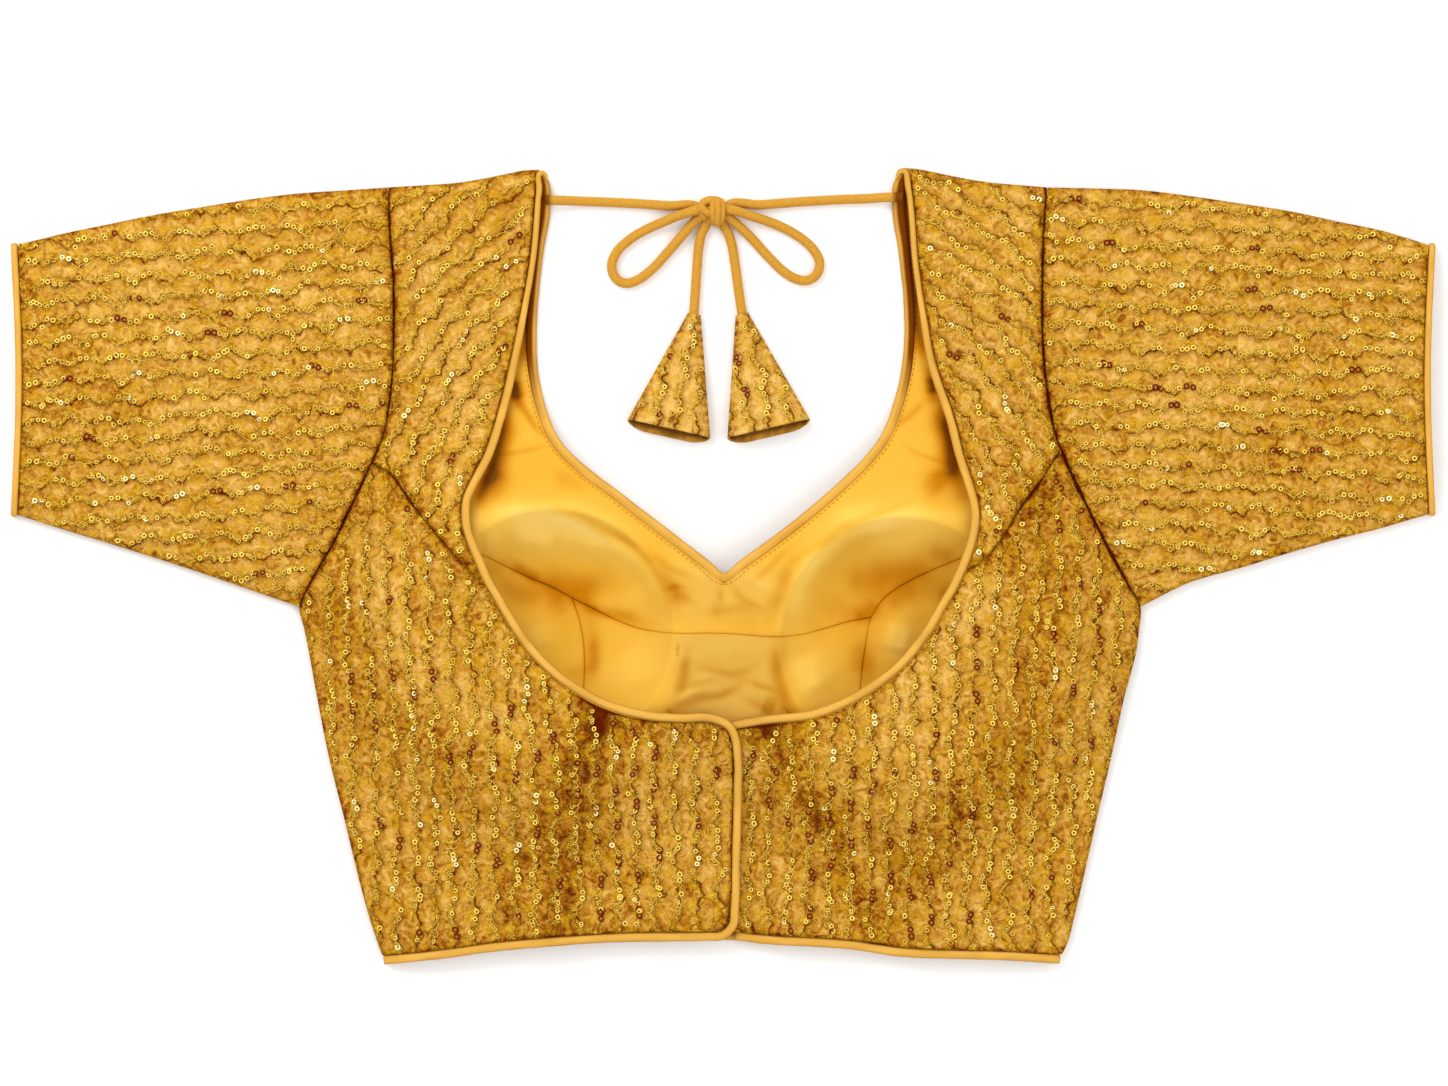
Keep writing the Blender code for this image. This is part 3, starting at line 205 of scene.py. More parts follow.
# Painted sheen and shade of the upper layer, in soft patches: tone, half width, points
SHADES = (
    (-0.24, 13, ((-60, -78), (-68.6, -100.8), (-78, -126.8), (-83.2, -152.8), (-86.8, -190))),
    (-0.13, 8, ((-104, -142), (-108, -168), (-110, -194))),
    (-0.22, 9, ((25, -86), (40.6, -111.2), (56.2, -142.4), (70.7, -168.4), (81.1, -192))),
    (-0.15, 15, ((166.4, 40), (165.4, -17.6), (162.8, -69.6), (152.4, -100.8), (126.4, -132),
                 (97.8, -158))),
    (-0.13, 8, ((-64, -82), (-30, -84), (0, -86), (38, -86))),
    (-0.16, 11, ((-198, -18), (-200, -34))),
    (-0.09, 15, ((-200, -66), (-184, -84), (-146, -98))),
    (-0.12, 5, ((-170, 46), (-150, 20), (-128, -4))),
    (-0.08, 7, ((164, 38), (150, 16), (136, -4))),
    (0.12, 14, ((-177.8, -2), (-167.4, -38.4), (-141.4, -64.4), (-112, -86))),
    (0.10, 20, ((140, -20), (108, -30), (94, -84))),
    (0.05, 20, ((-6, -104), (-30, -150))),
    (0.06, 9, ((-150, 150), (-136, 100), (-140, 40))),
    (0.05, 12, ((-300, 140), (-290, 130))),
    (-0.08, 10, ((-366, 160), (-350, 130), (-330, 96))),
    (-0.08, 12, ((362, 60), (330, 80), (300, 60))),
    (0.05, 16, ((230, 130), (250, 90), (280, 120))),
)

# The lining's painted highlights and shade, which are also its soft ridges and creases: tone, half
# width, points
LINING_SHADES = (
    (-0.75, 7, ((-95, 205), (-97, 164), (-100, 133), (-103, 112))),
    (-0.4, 2.2, ((-94, 196), (-97, 164), (-100, 133), (-104, 112), (-108, 94))),
    (-1.1, 3.2, ((-108, 97), (-107, 91), (-105, 85))),
    (-0.38, 1.9, ((-105, 85), (-101, 79), (-97, 72), (-92, 67))),
    (-0.75, 6, ((-113, 86), (-114, 73), (-117, 60), (-119, 48), (-124, 36))),
    (-0.25, 8, ((-116, 52), (-115, 40), (-120, 32))),
    (-0.2, 1.4, ((-115, 58), (-105, 59), (-97, 60), (-90, 62))),
    (-0.16, 5, ((-90, 48), (-79, 45), (-69, 41))),
    (0.1, 6, ((-100, 76), (-95, 66))),
    (-0.75, 7, ((94, 205), (96, 164), (99, 133), (102, 115))),
    (-0.45, 2.4, ((96, 196), (98, 154), (101, 131), (105, 113), (108, 98))),
    (-0.9, 3.2, ((109, 100), (110, 94), (110, 88))),
    (-0.25, 1.9, ((106, 86), (100, 81), (95, 77), (89, 71))),
    (-0.95, 6, ((115, 86), (117, 71), (119, 59), (121, 49), (126, 39))),
    (-0.3, 7, ((112, 52), (111, 42), (116, 36))),
    (-0.18, 1.3, ((95, 64), (100, 59), (108, 56), (116, 53))),
    (-0.16, 9, ((108, 50), (116, 40))),
    (0.42, 9, ((-128, 24), (-105, 25), (-84, 21), (-66, 13), (-52, 3))),
    (0.22, 4, ((-128, 23), (-120, 28), (-106, 29), (-93, 28), (-79, 23), (-67, 17), (-55, 10),
               (-46, 4), (-38, -5), (-33, -13), (-29, -22), (-28, -32))),
    (-0.34, 2.2, ((-86, 31), (-69, 24), (-60, 19), (-48, 11), (-38, 3))),
    (-0.34, 5, ((-37, 2), (-31, -7), (-26, -17), (-24, -26))),
    (-0.16, 1.5, ((-31, -12), (-24, -10), (-16, -11))),
    (-0.18, 1.6, ((0, -11), (1, -19))),
    (-0.2, 3.2, ((-11, -24), (7, -21), (19, -23))),
    (-0.24, 2, ((5, -9), (12, -17), (22, -22))),
    (-0.2, 2, ((36, 10), (24, -2), (14, -8))),
    (-0.2, 2.2, ((-38, 8), (-26, -1), (-12, -6))),
    (-0.3, 3.4, ((-27, -6), (-22, -14), (-15, -19))),
    (0.16, 3, ((10, -3), (20, -9), (30, -12))),
    (0.16, 3, ((-24, 4), (-14, -3), (-5, -8))),
    (-0.1, 7, ((-1, -29), (21, -29))),
    (-0.1, 2.5, ((-3, -26), (-2, -17), (1, -9))),
    (-0.08, 8, ((-105, 2), (-87, -4), (-69, -8))),
    (0.2, 8, ((-124, 14), (-114, 14))),
    (-0.42, 8, ((-98, -8), (-84, -12), (-72, -12), (-60, -8))),
    (-0.36, 3.6, ((-76, -17), (-63, -24), (-53, -26), (-38, -31))),
    (0.1, 8, ((-49, -13), (-43, -22))),
    (-0.4, 3, ((-111, 1), (-102, -4), (-94, -9))),
    (-0.32, 7, ((-120, -8), (-105, -15), (-92, -20))),
    (0.2, 8, ((-98, -30), (-94, -44))),
    (0.22, 5, ((-92, 33), (-74, 29), (-60, 23), (-48, 16))),
    (-0.18, 6, ((-88, -15), (-81, -26))),
    (-0.18, 5, ((-74, -51), (-78, -59))),
    (-0.42, 4, ((-68, -35), (-67, -48), (-69, -60))),
    (-0.16, 5, ((-71, -20), (-68, -33))),
    (0.2, 16, ((-54, -43), (-47, -53), (-43, -64))),
    (-0.45, 0.8, ((-23, -40), (-23, -47))),
    (-0.38, 3.4, ((-17, -45), (-20, -58), (-24, -70))),
    (-0.12, 26, ((0, -43), (3, -64))),
    (-0.2, 2.2, ((-11, -53), (-4, -56), (4, -57), (12, -54), (18, -50))),
    (-0.18, 3.6, ((-18, -65), (-8, -64))),
    (-0.32, 2.4, ((-28, -76), (-22, -73), (-11, -69), (-1, -68), (7, -64), (10, -59))),
    (0.16, 1.6, ((-24, -70), (-17, -66), (-9, -64))),
    (0.12, 1.8, ((-14, -59), (-6, -57), (1, -59))),
    (-0.3, 1.7, ((14, -59), (21, -62), (28, -65))),
    (-0.42, 4.4, ((29, -38), (29, -49), (30, -59), (33, -70), (37, -77))),
    (-0.4, 4.5, ((36, -76), (34, -78))),
    (-0.4, 3.6, ((-25, -76), (-28, -78))),
    (-0.42, 6, ((20, -72), (28, -75))),
    (-0.18, 2, ((11, -68), (19, -72), (24, -77))),
    (0.16, 16, ((41, -44), (48, -54), (56, -64))),
    (0.2, 4, ((129, 25), (113, 27), (99, 27), (90, 25), (77, 20), (64, 14), (55, 7), (46, 0),
              (40, -8), (37, -16), (34, -24), (33, -32))),
    (-0.26, 2.2, ((98, 33), (86, 28), (73, 24), (62, 19), (54, 13), (45, 7), (38, 2))),
    (-0.28, 4.6, ((38, 2), (32, -8), (28, -18), (26, -26))),
    (0.1, 7, ((111, 34), (93, 34), (72, 29), (51, 16))),
    (-0.42, 8, ((72, -2), (86, -4), (98, -4), (114, -1))),
    (0.16, 7, ((72, 14), (92, 12), (114, 14))),
    (-0.24, 7, ((64, -5), (76, -11), (88, -14))),
    (-0.28, 6, ((104, -11), (94, -15), (86, -23))),
    (-0.4, 5, ((66, -27), (74, -25), (82, -18))),
    (-0.2, 4, ((77, -43), (76, -55), (74, -64))),
    (-0.3, 5, ((71, -38), (72, -58))),
    (-0.3, 5, ((106, 8), (122, 5))),
    (-0.2, 6, ((-128, 1), (-112, -3))),
    (0.3, 7, ((54, 20), (66, 26), (82, 22), (104, 22), (122, 21))),
    (0.3, 6, ((60, 14), (50, 4), (44, -6), (40, -16), (39, -34))),
    (0.25, 9, ((42, -44), (46, -58), (48, -68))),
    (0.45, 8, ((95, -28), (90, -46))),
    (-0.4, 3.5, ((-121, 50), (-124, 42), (-128, 34))),
    (-0.4, 6, ((111, -12), (122, -17))),
    (0.3, 8, ((-110, 16), (-98, 15), (-86, 11))),
    (-0.14, 10, ((67, -18), (51, -27))),
)

# Colours, linear
GOLD_DARK = (0.095, 0.005, 0, 1)
GOLD_LOW = (0.29, 0.078, 0.001, 1)
GOLD_MID = (0.545, 0.264, 0.034, 1)
GOLD_LIGHT = (0.76, 0.452, 0.118, 1)
GOLD_WARM = (0.58, 0.3, 0.003, 1)
GOLD_THREAD = (0.97, 0.66, 0.08, 1)
SPECULAR_GOLD = (1, 0.68, 0.18, 1)
SATIN_SHADE = (0.16, 0.036, 0, 1)


# ---------------------------------------------------------------- curves

CURVE_STEPS = 24        # between two given points, before a curve is spaced evenly


def unit(rows):
    """Each row's direction, with a length of 1."""
    return rows / np.linalg.norm(rows, axis=1)[:, None]


def steps_of(line):
    """Length of each step of a line."""
    return np.linalg.norm(np.diff(line, axis=0), axis=1)


def travelled(line):
    """Distance of each point along its line."""
    return np.concatenate([[0.0], np.cumsum(steps_of(line))])


def curve_through(points, spacing):
    """Points about a spacing apart on a smooth curve through the given ones."""
    points = np.asarray(points, float)
    steps = steps_of(points)
    rates = np.diff(points, axis=0) / steps[:, None]
    slopes = np.empty_like(points)
    slopes[0] = rates[0]
    slopes[-1] = rates[-1]
    before, after = steps[:-1, None], steps[1:, None]
    slopes[1:-1] = (rates[:-1] * after + rates[1:] * before) / (before + after)
    t = np.linspace(0.0, 1.0, CURVE_STEPS, endpoint=False)[:, None]
    fine = [
        (2 * t**3 - 3 * t**2 + 1) * points[i]
        + (t**3 - 2 * t**2 + t) * slopes[i] * step
        + (3 * t**2 - 2 * t**3) * points[i + 1]
        + (t**3 - t**2) * slopes[i + 1] * step
        for i, step in enumerate(steps)
    ]
    return respace(np.vstack([*fine, points[-1:]]), spacing)


def respace(points, spacing):
    """The same line with its points evenly spaced."""
    points = np.asarray(points, float)
    along = travelled(points)
    count = max(1, round(along[-1] / spacing))
    places = np.linspace(0.0, along[-1], count + 1)
    return np.column_stack([np.interp(places, along, column) for column in points.T])


def table_by_y(rows, side):
    """Plan points of a table whose rows are y, left x, right x."""
    column = 1 if side == "left" else 2
    return [(SIDES[side] * row[column], row[0]) for row in rows]


def table_by_x(rows, side):
    """Plan points of a table whose rows are x, left y, right y."""
    column = 1 if side == "left" else 2
    return [(SIDES[side] * row[0], row[column]) for row in rows]


def offset_line(points, distance):
    """A line moved to its left by a distance, with its corners kept."""
    runs = unit(np.diff(points, axis=0))
    normals = np.column_stack([-runs[:, 1], runs[:, 0]])
    moved = [points[0] + normals[0] * distance]
    for i in range(1, len(points) - 1):
        both = normals[i - 1] + normals[i]
        moved.append(points[i] + both * distance * 2 / (both @ both))
    moved.append(points[-1] + normals[-1] * distance)
    return np.array(moved)


def away(x, y, line):
    """Distance of each point from a line, in plan."""
    line = np.asarray(line, float)[:, :2]
    nearest = np.full(np.shape(x), 1e9)
    for start, end in zip(line[:-1], line[1:]):
        run = end - start
        share = ((x - start[0]) * run[0] + (y - start[1]) * run[1]) / (run @ run)
        share = np.clip(share, 0.0, 1.0)
        nearest = np.minimum(
            nearest, np.hypot(x - start[0] - share * run[0], y - start[1] - share * run[1])
        )
    return nearest


def away_from_all(x, y, lines):
    """Distance of each point from the nearest of several lines."""
    return np.minimum.reduce([away(x, y, line) for line in lines])


def eased(share):
    """A share from 0 to 1 with soft ends."""
    share = np.clip(share, 0.0, 1.0)
    return share * share * (3 - 2 * share)


def mottle(x, y, size, seed):
    """Smooth noise from -1 to 1 over the plan, with features of a size."""
    table = np.random.default_rng(seed).uniform(-1, 1, (64, 64))
    column, row = np.floor(x / size).astype(int), np.floor(y / size).astype(int)
    across, up = eased(x / size - column), eased(y / size - row)

    def corner(right, above):
        return table[(column + right) % 64, (row + above) % 64]

    low = corner(0, 0) * (1 - across) + corner(1, 0) * across
    high = corner(0, 1) * (1 - across) + corner(1, 1) * across
    return low * (1 - up) + high * up


def mottled(x, y, *layers):
    """Layers of smooth noise added up, each of an amount, a size and a seed."""
    return sum(amount * mottle(x, y, size, seed) for amount, size, seed in layers)


def bell(value, half):
    """1 where a value is 0, falling off over a half width."""
    return np.exp(-((value / half) ** 2))


CLOSED_EDGES = [
    curve_through(points, EDGE_PITCH)
    for side in SIDES
    for points in (
        table_by_y(SIDE_SEAM, side), table_by_x(SHOULDER, side),
        table_by_x(SLEEVE_TOP, side), table_by_x(SLEEVE_BOTTOM, side),
    )
]
ARMHOLES = [curve_through(table_by_y(ARMHOLE, side), EDGE_PITCH) for side in SIDES]


# ---------------------------------------------------------------- heights, as in the solids

def cup_place(x, y, side):
    """Share of the way from a cup's deepest point to its rim, and distance outside the rim."""
    centre, deep = CUP_CENTRE[side], CUP_DEEP[side]
    outside = np.hypot(x - centre[0], y - centre[1]) - CUP_RADIUS
    dx, dy = x - deep[0], y - deep[1]
    far = np.maximum(np.hypot(dx, dy), 1e-6)
    along = ((deep[0] - centre[0]) * dx + (deep[1] - centre[1]) * dy) / far
    shift = (deep[0] - centre[0]) ** 2 + (deep[1] - centre[1]) ** 2
    reach = -along + np.sqrt(np.maximum(along**2 + CUP_RADIUS**2 - shift, 1.0))
    return far / reach, outside


def cup_lift(x, y):
    """Height that the rims of the two cups give the cloth round them."""
    outside = (np.maximum(cup_place(x, y, side)[1], 0.0) for side in SIDES)
    total = sum(np.maximum(0.0, 1 - (far / CUP_SPREAD) ** 2) ** (2 * CUP_BLEND) for far in outside)
    return CUP_HEIGHT * total ** (1 / CUP_BLEND)


def front_under(x, y):
    """Underside of the front cloth: flat on the surface, raised round the cups."""
    height = cup_lift(x, y)
    for side in SIDES:
        share, outside = cup_place(x, y, side)
        bowl = np.clip((share - CUP_REST) / (1 - CUP_REST), 0.0, 1.0) ** 2
        height = np.where(outside < 0, height * bowl, height)
    return height


def front_over(x, y):
    """Upper face of the front cloth."""
    return front_under(x, y) + SHELL


def lining_under(x, y):
    """Underside of the lining."""
    return front_over(x, y) + GAP


def lining_over(x, y):
    """Upper face of the lining, with the padding of the cups beneath it."""
    padding = sum(PAD * np.clip(1 - cup_place(x, y, side)[0] ** 2, 0.0, 1.0) for side in SIDES)
    return lining_under(x, y) + LINING + padding


def space(x, y):
    """Space between the layers, closed at the seams and folds."""
    nearest = away_from_all(x, y, CLOSED_EDGES)
    strap = eased((STRAP_OUT - np.abs(x)) / (STRAP_OUT - STRAP_IN))
    strap = strap * eased((y - STRAP_LOW) / (STRAP_HIGH - STRAP_LOW))
    full = BODY_SPACE + (STRAP_SPACE - BODY_SPACE) * strap
    return CLOSED_SPACE + full * (1 - np.exp(-nearest / SPACE_REACH))


def folds(x, y):
    """Main folds of the upper layer, fading out at the closed edges."""
    total = sum(height * bell(away(x, y, points), width) for height, width, points in FOLDS)
    return total * eased(away_from_all(x, y, CLOSED_EDGES) / FOLD_FADE)


def back_under(x, y):
    """Underside of the back cloth and of the sleeves' upper layer."""
    stack = SHELL + GAP + LINING + GAP
    return cup_lift(x, y) + stack + space(x, y) + folds(x, y)


def back_over(x, y):
    """Upper face of the back cloth."""
    return back_under(x, y) + BACK


def lap_drop(x):
    """How far the right back lies below the left one where it is lapped."""
    return LAP_DROP * eased((LAP_FROM - x) / (LAP_FROM - LAP_TO))


def right_back_under(x, y):
    """Underside of the right back."""
    return back_under(x, y) - lap_drop(x)


def right_back_over(x, y):
    """Upper face of the right back."""
    return right_back_under(x, y) + BACK


# ---------------------------------------------------------------- materials

class Nodes:
    """A material with its shader's own sockets set, and short ways to add nodes to its tree."""

    def __init__(self, name, colour=(0.8, 0.8, 0.8, 1), **sockets):
        self.material = bpy.data.materials.new(name)
        self.material.use_nodes = True
        self.tree = self.material.node_tree
        self.shader = self.tree.nodes["Principled BSDF"]
        self.shader.inputs["Base Color"].default_value = colour
        for socket, value in sockets.items():
            self.shader.inputs[socket.replace("_", " ")].default_value = value

    def add(self, kind, inputs=None, **settings):
        """A node with its settings, its inputs set to values or linked to other nodes' outputs."""
        made = self.tree.nodes.new("ShaderNode" + kind)
        for key, value in settings.items():
            setattr(made, key, value)
        for key, value in (inputs or {}).items():
            if isinstance(value, bpy.types.NodeSocket):
                self.tree.links.new(value, made.inputs[key])
            else:
                made.inputs[key].default_value = value
        return made

    def link(self, output, socket):
        """Lead an output to a socket of the shader."""
        self.tree.links.new(output, self.shader.inputs[socket])

    def math(self, operation, *values):
        """A sum of numbers and outputs."""
        return self.add("Math", dict(enumerate(values)), operation=operation).outputs[0]

    def times(self, a, b):
        """The product of two values."""
        return self.math("MULTIPLY", a, b)

    def less(self, a, b):
        """One value less another."""
        return self.math("SUBTRACT", a, b)

    def fused(self, a, b, c):
        """The product of two values and a third added."""
        return self.math("MULTIPLY_ADD", a, b, c)

    def bell(self, value, half):
        """1 where a value is 0, falling off over a half width."""
        return self.math("EXPONENT", self.times(self.times(value, value), -1 / half**2))

    def attribute(self, name, output="Fac"):
        """What the mesh says of a point."""
        return self.add("Attribute", attribute_name=name).outputs[output]

    def noise(self, where, size, detail=2.0, **inputs):
        """Noise with features of a size."""
        inputs = {"Vector": where, "Scale": 1 / size, "Detail": detail, **inputs}
        return self.add("TexNoise", inputs).outputs["Fac"]

    def ranged(self, value, low, high, **settings):
        """0 at one value and 1 at another."""
        inputs = {"Value": value, "From Min": low, "From Max": high}
        return self.add("MapRange", inputs, **settings).outputs[0]

    def patches(self, where, size, low, high):
        """Soft noise patches of a size, 0 below one level of the noise and 1 above another."""
        return self.ranged(self.noise(where, size, 1.0), low, high, interpolation_type="SMOOTHSTEP")

    def blend(self, share, below, above):
        """Two colours mixed by a share."""
        return self.add("Mix", {"Factor": share, 6: below, 7: above}, data_type="RGBA").outputs[2]

    def ramp(self, share, *stops):
        """A colour ramp read at a share; the stops are places and colours."""
        made = self.add("ValToRGB", {"Fac": share})
        elements = made.color_ramp.elements
        while len(elements) < len(stops):
            elements.new(0.5)
        for element, (place, colour) in zip(elements, stops):
            element.position = place
            element.color = colour
        return made.outputs["Color"]

    def bumps(self, *layers):
        """Bump layers of height output, strength and depth in millimetres, one on another."""
        below = {}
        for height, strength, depth in layers:
            inputs = {"Height": height, "Strength": strength, "Distance": depth * MM, **below}
            below = {"Normal": self.add("Bump", inputs).outputs["Normal"]}
        self.link(below["Normal"], "Normal")


def net_cloth():
    """Gold net embroidered over satin: threads and creases follow the rows of the panel."""
    net = Nodes("net_cloth", Roughness=0.55, Specular_IOR_Level=0.03, Specular_Tint=SPECULAR_GOLD)
    times, less, fused = net.times, net.less, net.fused
    where = net.add("TexCoord").outputs["Object"]
    parts = net.add("SeparateXYZ", {"Vector": net.attribute("rows", "Vector")})
    across, along, side = (parts.outputs[k] for k in range(3))
    row = net.math("ROUND", across)
    turn = times(fused(row, 0.5, along), 2 * math.pi)
    wave = times(net.math("SINE", turn), -WAVE / ROW_PITCH)
    beside = times(net.math("ADD", less(across, row), wave), ROW_PITCH)
    lane = net.add("CombineXYZ", {"X": times(row, 7.3), "Y": along}).outputs[0]
    near = net.bell(beside, 2.7)

    # thread lies in curls close together along the rows, each with painted shade along its edge
    curl = net.noise(where, 2.5 * MM, 1.0, Roughness=0.6, Distortion=1.3)
    worked = times(near, net.patches(lane, 0.4, 0.32, 0.5))
    thread = times(net.bell(less(curl, 0.5), 0.034), fused(worked, 0.7, 0.15))
    edge = times(net.bell(less(curl, 0.425), 0.026), fused(near, 0.6, 0.25))

    # the cloth between the rows hangs in scallops, with painted shade in a crease away from the light,
    # a fainter painted crease on the lit side and soft painted shade beside the crease
    shadow = times(beside, side)
    hang = net.math("ABSOLUTE", net.math("SINE", times(along, math.pi * SCALLOPS)))
    hang = fused(hang, SCALLOP, -CREASE_OFF)
    stray = less(net.noise(where, 5 * MM), 0.5)
    lower = net.math("ADD", shadow, fused(stray, 5.0, hang))
    upper = fused(stray, 5.0, less(hang, shadow))
    share = fused(net.patches(lane, 0.5, 0.50, 0.62), 0.45, 0.55)
    faint = times(net.bell(upper, 0.45), net.patches(lane, 0.3, 0.42, 0.6))
    crease = net.math("MAXIMUM", times(net.bell(lower, 0.68), share), times(faint, 0.6))
    shade = times(net.bell(less(lower, 1.2), 1.8), 0.38)
    flecks = times(net.patches(where, 2 * MM, 0.61, 0.69), near)
    blotch = times(net.patches(where, 8 * MM, 0.54, 0.68), near)
    yellow = times(net.patches(where, 6 * MM, 0.5, 0.64), 0.5)

    tone = net.attribute("tone")
    grain = net.noise(where, 1.2 * MM, Distortion=0.8)
    strokes = net.noise(where, 5.5 * MM, Roughness=0.5, Distortion=1.6)
    speckled = fused(less(strokes, 0.5), 1.38, fused(less(grain, 0.5), 0.26, tone))
    colour = net.ramp(speckled, (0.06, GOLD_DARK), (0.28, GOLD_LOW), (0.56, GOLD_MID),
                      (0.92, GOLD_LIGHT))
    # where the tone is lowest, in painted shade and at edges and seams, the cloth goes to the darkest
    # gold
    deep = times(net.ranged(tone, 0.1, -0.12), 0.95)
    for share, over in (
        (times(near, 0.5), GOLD_WARM), (yellow, GOLD_WARM), (shade, GOLD_LOW),
        (times(blotch, 0.65), GOLD_LOW), (edge, GOLD_DARK), (thread, GOLD_THREAD),
        (times(crease, 0.95), GOLD_DARK), (times(flecks, 0.7), GOLD_DARK), (deep, GOLD_DARK),
    ):
        colour = net.blend(share, colour, over)
    net.link(colour, "Base Color")
    net.bumps((strokes, 0.8, 2.2), (grain, 0.3, 0.2), (less(thread, crease), 0.7, 0.5))
    return net.material


def satin(name, *stops, roughness=0.4, slub=3, toned=True, dull=(), shaded=None):
    """Smooth satin with a faint weave and soft slubs; colours by the mesh's tone, or its weave.

    The dull colours show where the mesh's dull attribute says so. Shaded gives two distances from
    the middle between which the satin darkens, in the straps' shadow.
    """
    made = Nodes(name, Roughness=roughness, Specular_IOR_Level=0.12, Specular_Tint=SPECULAR_GOLD)
    where = made.add("TexCoord").outputs["Object"]
    weave = made.noise(where, 0.8 * MM, 3.0)
    share = made.fused(made.less(weave, 0.5), 0.1, made.attribute("tone")) if toned else weave
    colour = made.ramp(share, *stops)
    if dull:
        colour = made.blend(made.attribute("dull"), colour, made.ramp(share, *dull))
    if shaded:
        far = made.math("ABSOLUTE", made.add("SeparateXYZ", {"Vector": where}).outputs["X"])
        inside = made.ranged(far, *(d * MM for d in shaded), interpolation_type="SMOOTHSTEP")
        colour = made.blend(inside, colour, SATIN_SHADE)
    made.link(colour, "Base Color")
    made.bumps((made.noise(where, slub * MM), 0.12, 0.3), (weave, 0.08, 0.06))
    return made.material


NET = net_cloth()
SATIN = satin("lining_satin", (0.0, (0.15, 0.035, 0.001, 1)), (0.25, (0.48, 0.165, 0.001, 1)),
              (0.5, (0.70, 0.356, 0.030, 1)), (0.75, (0.81, 0.50, 0.078, 1)),
              (1.0, (0.9, 0.64, 0.18, 1)),
              dull=((0.0, (0.15, 0.045, 0.002, 1)), (0.25, (0.44, 0.18, 0.009, 1)),
                    (0.5, (0.62, 0.345, 0.056, 1)), (1.0, (0.80, 0.56, 0.17, 1))))
INNER = satin("inner_satin", (0.0, (0.08, 0.02, 0.002, 1)), (0.5, (0.55, 0.25, 0.03, 1)),
              (1.0, (0.85, 0.50, 0.12, 1)), roughness=0.5)
PIPING = satin("piping_satin", (0.0, (0.16, 0.030, 0.0, 1)), (0.5, (0.66, 0.355, 0.058, 1)),
               (1.0, (0.94, 0.62, 0.19, 1)), slub=2.0)
# the cords darken between these distances from the middle: painted shadow of the straps over their
# ends
CORD_SATIN = satin("cord_satin", (0.3, (0.48, 0.215, 0.02, 1)), (0.7, (0.60, 0.31, 0.045, 1)),
                   roughness=0.42, slub=1.6, toned=False, shaded=(87.4, 91.0))


def glossy(name, colour, metal=0.25, roughness=0.3):
    """A shiny thread or sequin."""
    return Nodes(name, colour, Metallic=metal, Roughness=roughness, Specular_IOR_Level=0.15,
                 Specular_Tint=SPECULAR_GOLD).material


SEQUIN_LOOKS = [        # gold sequins in painted shade, as they are and with a painted glint, and brown ones; each with the cloth in its hole, in painted shade
    glossy("sequin_gold_shaded", (0.66, 0.42, 0.06, 1)),
    glossy("sequin_gold_shaded_hole", (0.24, 0.095, 0.004, 1)),
    glossy("sequin_gold", (0.93, 0.70, 0.13, 1)),
    glossy("sequin_gold_hole", (0.20, 0.080, 0.004, 1)),
    glossy("sequin_gold_glint", (1.0, 0.93, 0.50, 1)),
    glossy("sequin_gold_glint_hole", (0.34, 0.20, 0.03, 1)),
    glossy("sequin_brown", (0.12, 0.0, 0.0, 1), 0.0, 0.6),
    glossy("sequin_brown_hole", (0.34, 0.12, 0.03, 1), 0.0, 0.5),
]
ZARI = glossy("zari_thread", (0.95, 0.68, 0.11, 1), roughness=0.4)
STITCH = Nodes("stitch_thread", (0.42, 0.17, 0.012, 1), Roughness=0.6).material


# ---------------------------------------------------------------- meshes

def placed(name, data, place=(0, 0, 0)):
    """An object of some data, in the scene."""
    made = bpy.data.objects.new(name, data)
    made.location = place
    bpy.context.collection.objects.link(made)
    return made


def finished(made, slot, *nodes):
    """A piece that rides with the blouse and stands for CAD nodes."""
    if nodes:
        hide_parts(*nodes)
    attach(made, "root")
    return made


def make_object(name, points, faces, materials, slots=None, tones=None, rows=None, dull=None):
    """A mesh object from points in millimetres."""
    mesh = bpy.data.meshes.new(name)
    points = np.asarray(points, float) * MM
    mesh.from_pydata(points.tolist(), [], [tuple(int(i) for i in f) for f in faces])
    for entry in materials:
        mesh.materials.append(entry)
    if slots is not None:
        mesh.polygons.foreach_set("material_index", np.asarray(slots, np.int32))
    for key, values in (("tone", tones), ("dull", dull)):
        if values is not None:
            attribute = mesh.attributes.new(key, "FLOAT", "POINT")
            attribute.data.foreach_set("value", np.asarray(values, np.float32))
    if rows is not None:
        attribute = mesh.attributes.new("rows", "FLOAT_VECTOR", "POINT")
        attribute.data.foreach_set("vector", np.asarray(rows, np.float32).ravel())
    mesh.shade_smooth()
    mesh.validate()
    return placed(name, mesh)


def ring_quads(here, there, sides):
    """Faces between two rings of points, given the number of each one's first point."""
    turns = [(k, (k + 1) % sides) for k in range(sides)]
    return [(here + k, here + after, there + after, there + k) for k, after in turns]


def tube_faces(count, sides, closed=False):
    """Faces of a tube whose rings follow each other."""
    faces = []
    for ring in range(count if closed else count - 1):
        faces += ring_quads(ring * sides, (ring + 1) % count * sides, sides)
    if not closed:
        faces.append(tuple(reversed(range(sides))))
        faces.append(tuple(range((count - 1) * sides, count * sides)))
    return faces


